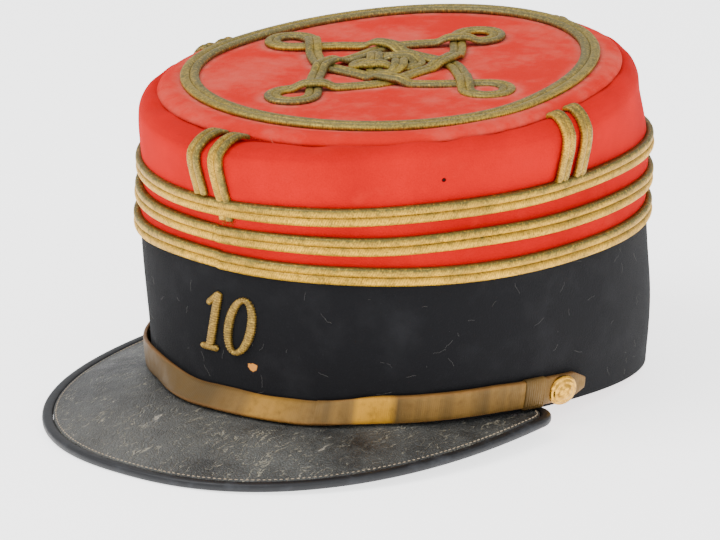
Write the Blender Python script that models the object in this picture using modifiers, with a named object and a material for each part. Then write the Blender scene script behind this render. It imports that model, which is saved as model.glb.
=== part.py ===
"""An officer's kepi: red crown on a dark band, gold braid, leather peak and a gold lace chin strap.

The front of the cap faces -Y and the wearer's left is +X. The cap stands on the peak's front
edge and the back of the band's rim. Sizes are in millimetres and are turned to metres when a
mesh is made.
"""
from collections import namedtuple
from math import copysign, cos, pi, radians, sin, sqrt

import bmesh
import bpy
from mathutils import Matrix, Vector

MM = 0.001
SEAT_GAP = 0.3            # between pieces that touch on the real cap
UP = Vector((0, 0, 1))

# Cloth body, measured outside the cloth
RIM_LENGTH = 194.4        # the band's rim, front to back
RIM_WIDTH = 156.6
RIM_LIFT = 13.0           # the rim's front edge over the floor; its back edge stands on the floor
FRONT_HEIGHT = 107.3      # the top seam over the floor, at the front
BACK_HEIGHT = 119.0
CLOTH_THICKNESS = 2.0
DISC_THICKNESS = 2.2
ROLL_RISE = 3.3           # the top disc's surface over the seam
AROUND = 48               # stations round the cap

# Braid: two round cords woven side by side, so its face has two ridges
BRAID_WIDTH = 5.8
BRAID_THICKNESS = 2.2
RING_LEVEL = 0.55         # middle of the lowest ring, as a share of the way up from the rim
RING_PITCH = 11.1
UPRIGHT_SPACING = 9.6     # middle to middle of a pair of upright braids

# Knot on the disc, measured along the middle of its braid
KNOT_HALF_LENGTH = 53.5
KNOT_HALF_WIDTH = 58.0
KNOT_TURN = -6.0          # degrees, as sewn on this cap
KNOT_CENTRE = (-2.6, 4.5)
KNOT_BRAID_WIDTH = 5.0
KNOT_BRAID_THICKNESS = 1.7
KNOT_RAMP = 2.6           # length over which a strand climbs on to another
KNOT_STATION = 3.0
LINK_HALF_LENGTH = 11.0
LINK_HALF_WIDTH = 4.5

# Peak
PEAK_REACH = 52.0         # from the band's front to the peak's front
PEAK_HALF_WIDTH = 89.4
PEAK_SQUARENESS = 2.32
PEAK_SPAN = radians(83)   # half the arc of the rim between the binding's ends
PEAK_SEWN = radians(77)   # half the arc that the peak itself is sewn to
PEAK_THICKNESS = 2.4
PEAK_CORNER_LIFT = 4.2    # its back corners are this much higher than its front
PEAK_CORNER_BACK = 12.7   # length of a rounded back corner
PEAK_DOME = 1.6
PEAK_COLUMNS = 40
BINDING_DEPTH = 4.0
BINDING_HEIGHT = 3.2

# Chin strap with its slides and buttons
STRAP_WIDTH = 10.0
STRAP_THICKNESS = 1.5
STRAP_LIFT = 0.6          # its lower edge over the rim
STRAP_LEAN = 4.0          # how far its lower edge slides out over the peak, at the front
STRAP_TAIL = 8.0          # from a button's middle to the strap's end
SLIDE_LENGTH = 9.0
SLIDE_WALL = 0.8
SLIDE_DISTANCE = 14.0     # from the button's middle to the slide's middle
BUTTON_RADIUS = 5.0
BUTTON_HEIGHT = 3.6
BUTTON_ANGLE = radians(87)
BUTTON_STEPS = 20

# Numerals on the front of the band
NUMERAL_HEIGHT = 22.5
NUMERAL_STROKE = 3.6
NUMERAL_RELIEF = 1.5
NUMERAL_LEVEL = 0.30      # their middle, as a share of the way up from the rim
NUMERAL_SLANT = 0.2
ONE_WIDTH = 8.0
ZERO_WIDTH = 13.0
NUMERAL_SPACE = 1.2

Oval = namedtuple("Oval", "level back_level front back width widest front_square back_square")

# Level and back_level are shares of the way up from the rim to the top seam, at the front and
# at the back. Front, back and widest are shares of RIM_LENGTH: how far the oval reaches each way
# from the middle line of the frame, and where it is widest. Width is half its width, as a share
# of RIM_WIDTH. The last two columns say how square its front and back halves are: 2 is an ellipse.
RIM = Oval(0.000, 0.000, 0.453, 0.547, 0.500, 0.029, 2.18, 2.40)
BELLY = Oval(0.276, 0.269, 0.450, 0.537, 0.524, 0.023, 2.20, 2.35)
JOINT = Oval(0.554, 0.535, 0.449, 0.523, 0.538, 0.012, 2.20, 2.20)
COLLAR = Oval(0.764, 0.714, 0.464, 0.528, 0.526, 0.009, 2.08, 2.30)
BULGE = Oval(0.933, 0.891, 0.489, 0.530, 0.549, 0.000, 1.85, 1.95)
BROW = Oval(0.984, 0.954, 0.476, 0.520, 0.542, -0.010, 1.88, 2.00)
CREST = Oval(1.006, 0.994, 0.445, 0.496, 0.521, -0.021, 1.95, 2.08)
SEAM = Oval(1.000, 1.000, 0.412, 0.471, 0.501, -0.031, 2.03, 2.15)
FIELD = Oval(1.000, 1.000, 0.358, 0.439, 0.466, -0.035, 1.98, 2.02)
WALL = (RIM, BELLY, JOINT, COLLAR, BULGE, BROW, CREST, SEAM)

# The frame's origin is under the middle of the whole cap, front to back
FRONT_REACH = RIM.front * RIM_LENGTH + PEAK_REACH
FRAME_SHIFT = Vector((0, (FRONT_REACH - RIM.back * RIM_LENGTH) / 2, 0))


def clear_scene():
    for item in list(bpy.data.objects):
        bpy.data.objects.remove(item)


def blend(start, end, share):
    return start + (end - start) * share


def power(value, exponent):
    return copysign(abs(value) ** exponent, value)


def plane_height(oval, y):
    """Height of the tilted plane that an oval lies in."""
    front_height = blend(RIM_LIFT, FRONT_HEIGHT, oval.level)
    back_height = BACK_HEIGHT * oval.back_level
    front, back = oval.front * RIM_LENGTH, oval.back * RIM_LENGTH
    return blend(front_height, back_height, (y + front) / (front + back))


def oval_point(oval, angle, grow=0.0, rise=0.0):
    """Point on an oval. Angle 0 is the front and a quarter turn is the wearer's left."""
    in_front = cos(angle) > 0
    exponent = 2 / (oval.front_square if in_front else oval.back_square)
    reach = oval.front + oval.widest if in_front else oval.back - oval.widest
    x = (oval.width * RIM_WIDTH + grow) * power(sin(angle), exponent)
    y = oval.widest * RIM_LENGTH - (reach * RIM_LENGTH + grow) * power(cos(angle), exponent)
    return Vector((x, y, plane_height(oval, y) + rise))


def outward(oval, angle):
    """Level direction square to an oval, away from the cap."""
    step = radians(1)
    along = oval_point(oval, angle + step) - oval_point(oval, angle - step)
    return Vector((along.y, -along.x, 0)).normalized()


def square_to(out, climb):
    """Direction square to a wall that faces out and climbs as given."""
    return (out * climb.z - UP * climb.dot(out)).normalized()


def wall_oval(level):
    """The wall's oval at any level between the table's rows."""
    for low, high in zip(WALL, WALL[1:]):
        if level <= high.level:
            break
    share = (level - low.level) / (high.level - low.level)
    return Oval(*(blend(a, b, share) for a, b in zip(low, high)))


def level_step(length):
    """A length up the wall, as a share of the way from the rim to the seam."""
    return length / (FRONT_HEIGHT - RIM_LIFT)


def stations(count=AROUND):
    return [2 * pi * index / count for index in range(count)]


def material(name, hex_colour, roughness, metallic=0.0):
    made = bpy.data.materials.new(name)
    made.use_nodes = True
    shader = made.node_tree.nodes["Principled BSDF"]
    channels = [int(hex_colour[i:i + 2], 16) / 255 for i in (0, 2, 4)]
    linear = [c / 12.92 if c <= 0.04045 else ((c + 0.055) / 1.055) ** 2.4 for c in channels]
    shader.inputs["Base Color"].default_value = (*linear, 1)
    shader.inputs["Roughness"].default_value = roughness
    shader.inputs["Metallic"].default_value = metallic
    return made


def add_object(name, data, finish):
    made = bpy.data.objects.new(name, data)
    data.materials.append(material(name, *finish))
    PARTS.objects.link(made)
    return made


def loft(name, sections, finish, loop):
    """One body through closed sections of like count; loop joins the last to the first."""
    count = len(sections[0])
    points = [(point + FRAME_SHIFT) * MM for section in sections for point in section]
    faces = []
    for index in range(len(sections) if loop else len(sections) - 1):
        here, there = index * count, (index + 1) % len(sections) * count
        for corner in range(count):
            following = (corner + 1) % count
            faces.append((here + corner, here + following, there + following, there + corner))
    if not loop:
        faces.append(tuple(reversed(range(count))))
        faces.append(tuple(range(len(points) - count, len(points))))
    mesh = bpy.data.meshes.new(name)
    mesh.from_pydata(points, [], faces)
    turned = bmesh.new()
    turned.from_mesh(mesh)
    bmesh.ops.recalc_face_normals(turned, faces=turned.faces)
    turned.to_mesh(mesh)
    turned.free()
    mesh.shade_smooth()
    mesh.set_sharp_from_angle(angle=radians(35))
    return add_object(name, mesh, finish)


def braid_section(middle, across, out, width, thickness):
    """Section of a braid lying on its back: two ridges with a valley between them."""
    outline = ((-0.5, 0.0), (-0.5, 0.5), (-0.28, 1.0), (0.0, 0.6), (0.28, 1.0), (0.5, 0.5), (0.5, 0.0))
    return [middle + across * (u * width) + out * (v * thickness) for u, v in outline]


CLOTH_RED = ("D63A32", 0.95)
DISC_RED = ("D9584A", 0.95)
BAND_NAVY = ("1C1F27", 0.95)
GOLD = ("B49A58", 0.45, 0.7)
OLD_GOLD = ("A2926A", 0.5, 0.6)
LEATHER = ("2B2927", 0.45)
LACE = ("96713A", 0.4, 0.6)
BRASS = ("B8913C", 0.3, 1.0)


def wall_profile(ovals, angle):
    """Section of a cloth wall: up its outside and down its inside."""
    outside = [oval_point(oval, angle) for oval in ovals]
    inside = []
    for index, oval in enumerate(ovals):
        if index in (0, len(ovals) - 1):
            inside.append(oval_point(oval, angle, -CLOTH_THICKNESS))
            continue
        out = outward(oval, angle)
        climb = outside[index + 1] - outside[index - 1]
        inside.append(outside[index] - square_to(out, climb) * CLOTH_THICKNESS)
    return outside + inside[::-1]


def make_band():
    """Dark cloth from the rim to the joint behind the lowest braid."""
    top = wall_oval(JOINT.level - level_step(SEAT_GAP / 2))
    sections = [wall_profile((RIM, BELLY, top), angle) for angle in stations()]
    loft("band", sections, BAND_NAVY, loop=True)


def make_crown_side():
    """Red cloth from the joint up over the bulge to the sunk top seam."""
    bottom = wall_oval(JOINT.level + level_step(SEAT_GAP / 2))
    ovals = (bottom, COLLAR, BULGE, BROW, CREST, SEAM)
    sections = [wall_profile(ovals, angle) for angle in stations()]
    loft("crown_side", sections, CLOTH_RED, loop=True)


def make_crown_top():
    """Red disc whose padded edge rolls over on to the seam."""
    under = ROLL_RISE - DISC_THICKNESS
    rings = (
        (FIELD, -BRAID_WIDTH, under), (SEAM, -7.0, under), (SEAM, -4.0, SEAT_GAP),
        (SEAM, -0.9, SEAT_GAP), (SEAM, -0.2, 0.5 * ROLL_RISE), (SEAM, -2.0, 0.9 * ROLL_RISE),
        (FIELD, 1.0, ROLL_RISE),
    )
    sections = [[oval_point(oval, angle, grow, rise) for angle in stations()]
                for oval, grow, rise in rings]
    loft("crown_top", sections, DISC_RED, loop=False)


def ring_section(level, angle):
    """Section of a braid ring on the wall, clear of the wall at its edges and its middle."""
    edge = level_step(BRAID_WIDTH / 2)
    low, middle, high = (oval_point(wall_oval(level + step), angle) for step in (-edge, 0, edge))
    across = (high - low).normalized()
    level_out = outward(wall_oval(level), angle)
    out = (level_out - across * level_out.dot(across)).normalized()
    proud = max((point - middle).dot(out) for point in (low, middle, high))
    return braid_section(middle + out * (proud + SEAT_GAP), across, out, BRAID_WIDTH, BRAID_THICKNESS)


def make_braid_rings():
    for index, place in enumerate(("lower", "middle", "upper")):
        level = RING_LEVEL + index * level_step(RING_PITCH)
        sections = [ring_section(level, angle) for angle in stations()]
        loft(f"braid_ring_{place}", sections, GOLD, loop=True)


def make_top_ring():
    sections = []
    for angle in stations():
        middle = oval_point(FIELD, angle, -BRAID_WIDTH / 2, ROLL_RISE + SEAT_GAP)
        sections.append(braid_section(middle, -outward(FIELD, angle), UP, BRAID_WIDTH, BRAID_THICKNESS))
    loft("top_ring_braid", sections, OLD_GOLD, loop=True)


def upright_point(oval, side, offset):
    """Point of the wall on one side of the cap, offset along that side."""
    reach = (oval.front + oval.widest if side == "front" else oval.back - oval.widest) * RIM_LENGTH
    half, widest = oval.width * RIM_WIDTH, oval.widest * RIM_LENGTH
    square = oval.front_square if side == "front" else oval.back_square
    if side in ("front", "back"):
        y = reach * (1 - (abs(offset) / half) ** square) ** (1 / square)
        y = widest - y if side == "front" else widest + y
        return Vector((offset, y, plane_height(oval, y)))
    along = offset - widest
    reach = (oval.front + oval.widest if along < 0 else oval.back - oval.widest) * RIM_LENGTH
    square = oval.front_square if along < 0 else oval.back_square
    x = half * (1 - (abs(along) / reach) ** square) ** (1 / square)
    return Vector((x if side == "left" else -x, offset, plane_height(oval, offset)))


def make_upright(name, side, offset):
    """Braid from the top ring's upper edge, over the bulge and into the top seam."""
    start = RING_LEVEL + 2 * level_step(RING_PITCH) + level_step(BRAID_WIDTH / 2 + 2 * SEAT_GAP)
    ovals = [wall_oval(start), wall_oval(blend(start, BULGE.level, 0.5)), BULGE, BROW, CREST]
    ovals.append(wall_oval(blend(CREST.level, SEAM.level, 0.6)))
    path = [upright_point(oval, side, offset) for oval in ovals[:-1]]
    last = [blend(a, b, 0.55) for a, b in zip(CREST, SEAM)]
    path.append(upright_point(Oval(*last), side, offset))
    out = {"front": Vector((0, -1, 0)), "back": Vector((0, 1, 0)),
           "left": Vector((1, 0, 0)), "right": Vector((-1, 0, 0))}[side]
    across = out.cross(UP)
    sections = []
    for index, point in enumerate(path):
        climb = path[min(index + 1, len(path) - 1)] - path[max(index - 1, 0)]
        normal = square_to(out, climb)
        place = point + normal * (SEAT_GAP + 0.2)
        sections.append(braid_section(place, across, normal, BRAID_WIDTH, BRAID_THICKNESS))
    loft(name, sections, GOLD, loop=False)


def make_uprights():
    for side in ("front", "left", "back", "right"):
        for index, turn in enumerate((-0.5, 0.5)):
            make_upright(f"upright_braid_{side}_{index + 1}", side, turn * UPRIGHT_SPACING)


# One eighth of a long knot loop: how far along its arm and to the side, as shares of the knot's
# half length and half width. The strand goes round the eye, crosses at the neck and opens out.
LOOP_EIGHTH = ((1.0, 0.0), (0.94, 0.105), (0.82, 0.12), (0.67, 0.0), (0.50, -0.155), (0.30, -0.27), (0.0, -0.27))


def mirrored_loop():
    """The whole loop from its eighth, as shares."""
    half = list(LOOP_EIGHTH) + [(-u, v) for u, v in reversed(LOOP_EIGHTH[:-1])]
    return half + [(u, -v) for u, v in reversed(half[1:-1])]


def smooth_loop(corners, steps):
    """Closed Catmull-Rom curve through flat corners."""
    count = len(corners)
    points = []
    for index in range(count):
        a, b, c, d = (Vector(corners[(index + shift) % count]) for shift in (-1, 0, 1, 2))
        for step in range(steps):
            t = step / steps
            points.append((2 * b + (c - a) * t + (2 * a - 5 * b + 4 * c - d) * t ** 2
                           + (3 * b - a - 3 * c + d) * t ** 3) / 2)
    return points


def link_loop(turn):
    """Round-ended link along a diagonal of the knot."""
    points = []
    for angle in stations(36):
        shift = copysign(LINK_HALF_LENGTH - LINK_HALF_WIDTH, cos(angle + 0.01))
        x = LINK_HALF_WIDTH * cos(angle) + shift
        y = LINK_HALF_WIDTH * sin(angle)
        points.append(Vector((x * cos(turn) - y * sin(turn), x * sin(turn) + y * cos(turn))))
    return points


def crossing(a, b, c, d):
    """Shares of the way along a-b and c-d where they cross, or None."""
    r, s = b - a, d - c
    denominator = r.x * s.y - r.y * s.x
    if abs(denominator) < 1e-9:
        return None
    t = ((c - a).x * s.y - (c - a).y * s.x) / denominator
    u = ((c - a).x * r.y - (c - a).y * r.x) / denominator
    return (t, u) if 0 <= t < 1 and 0 <= u < 1 else None


def find_crossings(loops):
    """Each crossing as a pair of visits: (loop, position along it in points)."""
    edges = [(number, i, loop[i], loop[(i + 1) % len(loop)])
             for number, loop in enumerate(loops) for i in range(len(loop))]
    found = []
    for first, (number, i, a, b) in enumerate(edges):
        for other, j, c, d in edges[first + 1:]:
            if number == other and (abs(i - j) <= 1 or abs(i - j) >= len(loops[number]) - 1):
                continue
            shares = crossing(a, b, c, d)
            if shares:
                found.append(((number, i + shares[0]), (other, j + shares[1])))
    return found


def weave(loops):
    """Pairs of visits, the upper one first: every strand passes over and under in turn."""
    pairs = find_crossings(loops)
    partner = {a: b for pair in pairs for a, b in (pair, pair[::-1])}
    beside = {}
    for number in range(len(loops)):
        visits = sorted(visit for visit in partner if visit[0] == number)
        for index, visit in enumerate(visits):
            beside[visit] = (visits[index - 1], visits[(index + 1) % len(visits)])
    over = {}
    for start in sorted(partner):
        waiting = [] if start in over else [(start, True)]
        while waiting:
            visit, state = waiting.pop()
            if visit in over:
                continue
            over[visit] = state
            waiting += [(other, not state) for other in (partner[visit], *beside[visit])]
    return [(visit, partner[visit]) for visit in over if over[visit]]


def distances(loop):
    """Distance along a closed loop to each of its points, and its whole length."""
    run = [0.0]
    for index, point in enumerate(loop):
        run.append(run[-1] + (loop[(index + 1) % len(loop)] - point).length)
    return run


def place_on(loop, run, distance):
    """Point and direction at a distance along a closed loop."""
    distance %= run[-1]
    index = max(i for i in range(len(loop)) if run[i] <= distance)
    start, end = loop[index], loop[(index + 1) % len(loop)]
    share = (distance - run[index]) / (run[index + 1] - run[index])
    return start + (end - start) * share, (end - start).normalized()


def raised_stretches(loops, runs):
    """For each loop, where it passes over another strand and how far each stretch reaches."""
    raised = [[] for loop in loops]
    for pair in weave(loops):
        middles = [blend(runs[n][int(p)], runs[n][int(p) + 1], p % 1) for n, p in pair]
        upper, lower = (place_on(loops[n], runs[n], m)[1] for (n, p), m in zip(pair, middles))
        slant = abs(upper.dot(lower))
        reach = (KNOT_BRAID_WIDTH / 2 + SEAT_GAP) * (1 + slant) / sqrt(1 - slant * slant)
        raised[pair[0][0]].append((middles[0], reach))
    return raised


def knot_stations(length, stretches):
    """Distances of the sections along a strand, with one at each end of every ramp."""
    exact = [(middle + way * (reach + extra)) % length
             for middle, reach in stretches for way in (-1, 1) for extra in (0, KNOT_RAMP)]
    count = round(length / KNOT_STATION)
    even = [length * index / count for index in range(count)]
    spare = KNOT_STATION / 3
    free = [d for d in even if all(spare < abs(d - e) < length - spare for e in exact)]
    return sorted(exact + free)


def lift_at(distance, length, stretches):
    """How far a strand is raised at a distance along it."""
    share = 0
    for middle, reach in stretches:
        off = abs(distance - middle)
        off = min(off, length - off)
        share = max(share, min((reach + KNOT_RAMP - off) / KNOT_RAMP, 1))
    return (KNOT_BRAID_THICKNESS + SEAT_GAP) * share


def make_knot():
    """Two long loops with eyes at their ends, woven together, and two short woven links."""
    corners = mirrored_loop()
    lengthwise = [(v * KNOT_HALF_WIDTH, u * KNOT_HALF_LENGTH) for u, v in corners]
    crosswise = [(u * KNOT_HALF_WIDTH, v * KNOT_HALF_LENGTH) for u, v in corners]
    loops = [smooth_loop(lengthwise, 8), smooth_loop(crosswise, 8), link_loop(pi / 4), link_loop(-pi / 4)]
    names = ("knot_lengthwise", "knot_crosswise", "knot_link_1", "knot_link_2")
    runs = [distances(loop) for loop in loops]
    turn = Matrix.Rotation(radians(KNOT_TURN), 2)
    for name, loop, run, stretches in zip(names, loops, runs, raised_stretches(loops, runs)):
        sections = []
        for distance in knot_stations(run[-1], stretches):
            point = turn @ place_on(loop, run, distance)[0] + Vector(KNOT_CENTRE)
            ahead, behind = (place_on(loop, run, distance + step)[0] for step in (0.5, -0.5))
            along = (turn @ (ahead - behind)).normalized()
            height = plane_height(FIELD, point.y) + ROLL_RISE + SEAT_GAP
            middle = Vector((point.x, point.y, height + lift_at(distance, run[-1], stretches)))
            side = Vector((-along.y, along.x, 0))
            sections.append(braid_section(middle, side, UP, KNOT_BRAID_WIDTH, KNOT_BRAID_THICKNESS))
        loft(name, sections, OLD_GOLD, loop=True)


def peak_outline(share):
    """Lower outer edge of the peak. Share runs from -1 at one back corner to 1 at the other."""
    corner = 0.9
    side = copysign(1, share)
    middle_y = -RIM.front * RIM_LENGTH - PEAK_REACH + peak_length()
    if abs(share) <= corner:
        angle = share / corner * pi / 2
        forward = power(cos(angle), 2 / PEAK_SQUARENESS)
        x = PEAK_HALF_WIDTH * power(sin(angle), 2 / PEAK_SQUARENESS)
        return Vector((x, middle_y - peak_length() * forward, PEAK_CORNER_LIFT * (1 - forward)))
    angle = (abs(share) - corner) / (1 - corner) * pi / 2
    end = oval_point(RIM, PEAK_SPAN, SEAT_GAP)
    x = blend(end.x, PEAK_HALF_WIDTH, cos(angle))
    y = middle_y + PEAK_CORNER_BACK * sin(angle)
    return Vector((side * x, y, PEAK_CORNER_LIFT))


def peak_length():
    """Length of the peak from its front to where its back corners begin."""
    end = oval_point(RIM, PEAK_SPAN)
    return end.y - PEAK_CORNER_BACK + RIM.front * RIM_LENGTH + PEAK_REACH


def outline_frame(share):
    """The outline's point, its level direction away from the peak and its run."""
    step = 0.004
    ahead, behind = min(share + step, 1), max(share - step, -1)
    along = peak_outline(ahead) - peak_outline(behind)
    out = Vector((along.y, -along.x, 0)).normalized()
    return peak_outline(share), out


def peak_shares():
    return [index / PEAK_COLUMNS * 2 - 1 for index in range(PEAK_COLUMNS + 1)]


def peak_column(share):
    """Section of the peak from under the band to the binding, top and underside."""
    inner = oval_point(RIM, share * PEAK_SEWN, -CLOTH_THICKNESS, -SEAT_GAP)
    lip = oval_point(RIM, share * PEAK_SEWN, 1.0, -SEAT_GAP)
    edge, out = outline_frame(share)
    edge = edge - out * (BINDING_DEPTH + SEAT_GAP)
    edge.z += BINDING_HEIGHT - (BINDING_HEIGHT - PEAK_THICKNESS) / 2
    span = (edge - lip).length
    top = [inner, lip]
    for part in (0.25, 0.5, 0.75, 1.0):
        point = blend(lip, edge, part)
        point.z += PEAK_DOME * sin(pi * part) * min(span / PEAK_REACH, 1)
        top.append(point)
    under = [point - UP * PEAK_THICKNESS for point in reversed(top)]
    return top + under


def make_peak():
    sections = [peak_column(share) for share in peak_shares()]
    loft("peak", sections, LEATHER, loop=False)


def make_binding():
    """Rolled leather along the peak's outer edge, round on its outside."""
    outline = ((1.0, 0.0), (0.35, 0.0), (0.0, 0.3), (0.0, 0.7), (0.35, 1.0), (1.0, 1.0))
    sections = []
    for share in peak_shares():
        edge, out = outline_frame(share)
        sections.append([edge - out * (BINDING_DEPTH * inward) + UP * (BINDING_HEIGHT * rise)
                         for inward, rise in outline])
    loft("peak_binding", sections, LEATHER, loop=False)


STRAP_OFFSET = SLIDE_WALL + 2 * SEAT_GAP


def strap_level(height):
    """Level of a height over the strap's lower edge."""
    return level_step(STRAP_LIFT + height)


def strap_section(angle, narrow=0.0):
    """Section of the strap as it lies round the band."""
    low, high = (wall_oval(strap_level(height)) for height in (narrow, STRAP_WIDTH - narrow))
    lean = STRAP_LEAN * max(cos(angle), 0) ** 2
    face = STRAP_OFFSET + STRAP_THICKNESS
    return [oval_point(low, angle, STRAP_OFFSET + lean), oval_point(low, angle, face + lean),
            oval_point(high, angle, face), oval_point(high, angle, STRAP_OFFSET)]


def strap_angle(distance):
    """Angle round the band at a distance in front of the button, for small distances."""
    middle = wall_oval(strap_level(STRAP_WIDTH / 2))
    step = radians(1)
    run = (oval_point(middle, BUTTON_ANGLE + step) - oval_point(middle, BUTTON_ANGLE)).length
    return BUTTON_ANGLE - distance / run * step


def make_chin_strap():
    """Gold lace on leather from behind one button, round the front, to behind the other."""
    tip, bend = strap_angle(-STRAP_TAIL), strap_angle(-STRAP_TAIL * 0.65)
    between = [angle - pi for angle in stations() if abs(angle - pi) < BUTTON_ANGLE - radians(2)]
    angles = [-bend, *sorted(between), bend]
    sections = [strap_section(angle) for angle in angles]
    narrow = STRAP_WIDTH * 0.25
    sections = [strap_section(-tip, narrow), *sections, strap_section(tip, narrow)]
    loft("chin_strap", sections, LACE, loop=False)


def slide_corner(angles, height, depth, wall_height, wall_depth):
    """Four points at one corner of a slide: outer and inner, at each of its ends."""
    points = []
    for angle, extra in zip(angles + angles[::-1], (1, 1, 0, 0)):
        oval = wall_oval(strap_level(height + wall_height * extra))
        points.append(oval_point(oval, angle, depth + wall_depth * extra))
    return points


def make_slides():
    """Woven keepers, each a closed loop round the strap."""
    half = SLIDE_LENGTH / 2
    near, far = STRAP_OFFSET - SEAT_GAP, STRAP_OFFSET + STRAP_THICKNESS + SEAT_GAP
    low, high = -SEAT_GAP, STRAP_WIDTH + SEAT_GAP
    wall = SLIDE_WALL
    rise = min(wall, STRAP_LIFT - SEAT_GAP / 2)
    corners = ((low, near, -rise, -wall), (low, far, -rise, wall), (high, far, wall, wall), (high, near, wall, -wall))
    for name, side in (("left", 1), ("right", -1)):
        ends = sorted(side * strap_angle(SLIDE_DISTANCE + shift) for shift in (-half, half))
        sections = [slide_corner(ends, *corner) for corner in corners]
        loft(f"strap_slide_{name}", sections, LACE, loop=True)


def make_buttons():
    """Domed brass buttons with a turned ring, each on the strap's face."""
    profile = ((0.0, 1.0), (0.3, 0.96), (0.5, 0.84), (0.62, 0.66), (0.7, 0.7), (0.8, 0.58), (0.9, 0.3),
               (1.0, 0.26), (1.0, 0.08), (0.9, 0.0), (0.0, 0.0))
    middle = wall_oval(strap_level(STRAP_WIDTH / 2))
    for name, side in (("left", 1), ("right", -1)):
        mesh = bpy.data.meshes.new(f"button_{name}")
        points = [(r * BUTTON_RADIUS * MM, 0, h * BUTTON_HEIGHT * MM) for r, h in profile]
        mesh.from_pydata(points, [(i, i + 1) for i in range(len(points) - 1)], [])
        button = add_object(f"button_{name}", mesh, BRASS)
        turn = button.modifiers.new("turn", "SCREW")
        turn.steps = turn.render_steps = BUTTON_STEPS
        turn.use_merge_vertices = True
        turn.merge_threshold = 0.00001
        low, high = strap_section(side * BUTTON_ANGLE)[1:3]
        out = square_to(outward(middle, side * BUTTON_ANGLE), high - low)
        button.location = ((low + high) / 2 + out * (2 * SEAT_GAP) + FRAME_SHIFT) * MM
        button.rotation_euler = out.to_track_quat("Z", "Y").to_euler()


def add_numeral(name, splines, offset):
    """Padded numeral on the band's front, from closed outlines in its own plane."""
    curve = bpy.data.curves.new(name, "CURVE")
    curve.dimensions = "2D"
    curve.fill_mode = "BOTH"
    curve.resolution_u = 1
    edge = 0.25
    curve.extrude = (NUMERAL_RELIEF / 2 - edge) * MM
    curve.bevel_depth = edge * MM
    curve.bevel_resolution = 0
    for outline in splines:
        spline = curve.splines.new("POLY")
        spline.use_cyclic_u = True
        spline.points.add(len(outline) - 1)
        for point, (x, y) in zip(spline.points, outline):
            point.co = ((x + NUMERAL_SLANT * y) * MM, y * MM, 0, 1)
    numeral = add_object(name, curve, GOLD)
    oval = wall_oval(NUMERAL_LEVEL)
    front = oval_point(oval, 0)
    half = (ONE_WIDTH + ZERO_WIDTH + NUMERAL_SPACE) / 2
    place = Vector((offset, front.y - SEAT_GAP - NUMERAL_RELIEF / 2, front.z))
    place.y += max(abs(offset) - half / 2, 0) * 0.02
    numeral.location = (place + FRAME_SHIFT) * MM
    numeral.rotation_euler = (pi / 2, 0, 0)


def make_numerals():
    half, stroke = NUMERAL_HEIGHT / 2, NUMERAL_STROKE / 2
    total = ONE_WIDTH + NUMERAL_SPACE + ZERO_WIDTH
    foot, flag = ONE_WIDTH / 2, ONE_WIDTH / 2
    serif = NUMERAL_STROKE * 0.55
    one = ((-foot, -half), (foot, -half), (foot, -half + serif), (stroke, -half + serif), (stroke, half),
           (-stroke, half), (-flag, half - 1.6 * stroke), (-flag, half - 2.8 * stroke),
           (-stroke, half - 1.8 * stroke), (-stroke, -half + serif), (-foot, -half + serif))
    add_numeral("numeral_one", [one], (ONE_WIDTH - total) / 2)
    count = 24
    outer = [(ZERO_WIDTH / 2 * cos(a), half * sin(a)) for a in stations(count)]
    inner = [((ZERO_WIDTH / 2 - NUMERAL_STROKE) * cos(a), (half - serif) * sin(a)) for a in stations(count)]
    add_numeral("numeral_zero", [outer, inner[::-1]], (total - ZERO_WIDTH) / 2)


clear_scene()
PARTS = bpy.data.collections.new("kepi_cap")
bpy.context.scene.collection.children.link(PARTS)
make_band()
make_crown_side()
make_crown_top()
make_braid_rings()
make_top_ring()
make_uprights()
make_knot()
make_peak()
make_binding()
make_chin_strap()
make_slides()
make_buttons()
make_numerals()
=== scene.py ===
"""The looks of an officer's kepi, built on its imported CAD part, with its light, floor and camera."""
from math import cos, pi, radians, sin
import bmesh
import bpy
import numpy as np
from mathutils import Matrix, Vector


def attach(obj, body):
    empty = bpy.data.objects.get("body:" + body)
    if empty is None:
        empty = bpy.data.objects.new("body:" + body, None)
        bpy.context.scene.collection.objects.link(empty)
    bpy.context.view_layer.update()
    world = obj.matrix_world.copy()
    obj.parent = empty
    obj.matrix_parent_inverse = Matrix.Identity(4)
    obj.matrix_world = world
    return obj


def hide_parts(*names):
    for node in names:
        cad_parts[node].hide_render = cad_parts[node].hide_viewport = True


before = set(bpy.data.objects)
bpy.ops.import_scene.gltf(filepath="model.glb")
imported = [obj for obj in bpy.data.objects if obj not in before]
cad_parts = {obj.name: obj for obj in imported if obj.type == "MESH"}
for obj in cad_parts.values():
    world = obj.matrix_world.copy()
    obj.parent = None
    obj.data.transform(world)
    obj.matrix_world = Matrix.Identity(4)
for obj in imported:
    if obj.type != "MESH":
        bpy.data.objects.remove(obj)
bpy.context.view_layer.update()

# Band: a stiff wall of navy wool cloth, so dark that it reads as black. It is milled and worn, so no
# weave shows, only a soft nap. Its rim is turned in as a hem, and the cap stands on the back of it.
BAND_COLOUR, BAND_WORN, BAND_FLECK, BAND_CANVAS = "#131315", "#1D1D1F", "#2B2B2E", "#C8843C"
CLOTH_THICKNESS = 2.0
WORN_SPOT = (13.1, -70.0, 28.0)      # cloth lost down to its canvas
AROUND = 360
BAND_TOP, TOP_SEAM = 2.0, 7.0        # in rows of the table below
MM = 0.001                           # lengths are in mm up to the mesh
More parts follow.
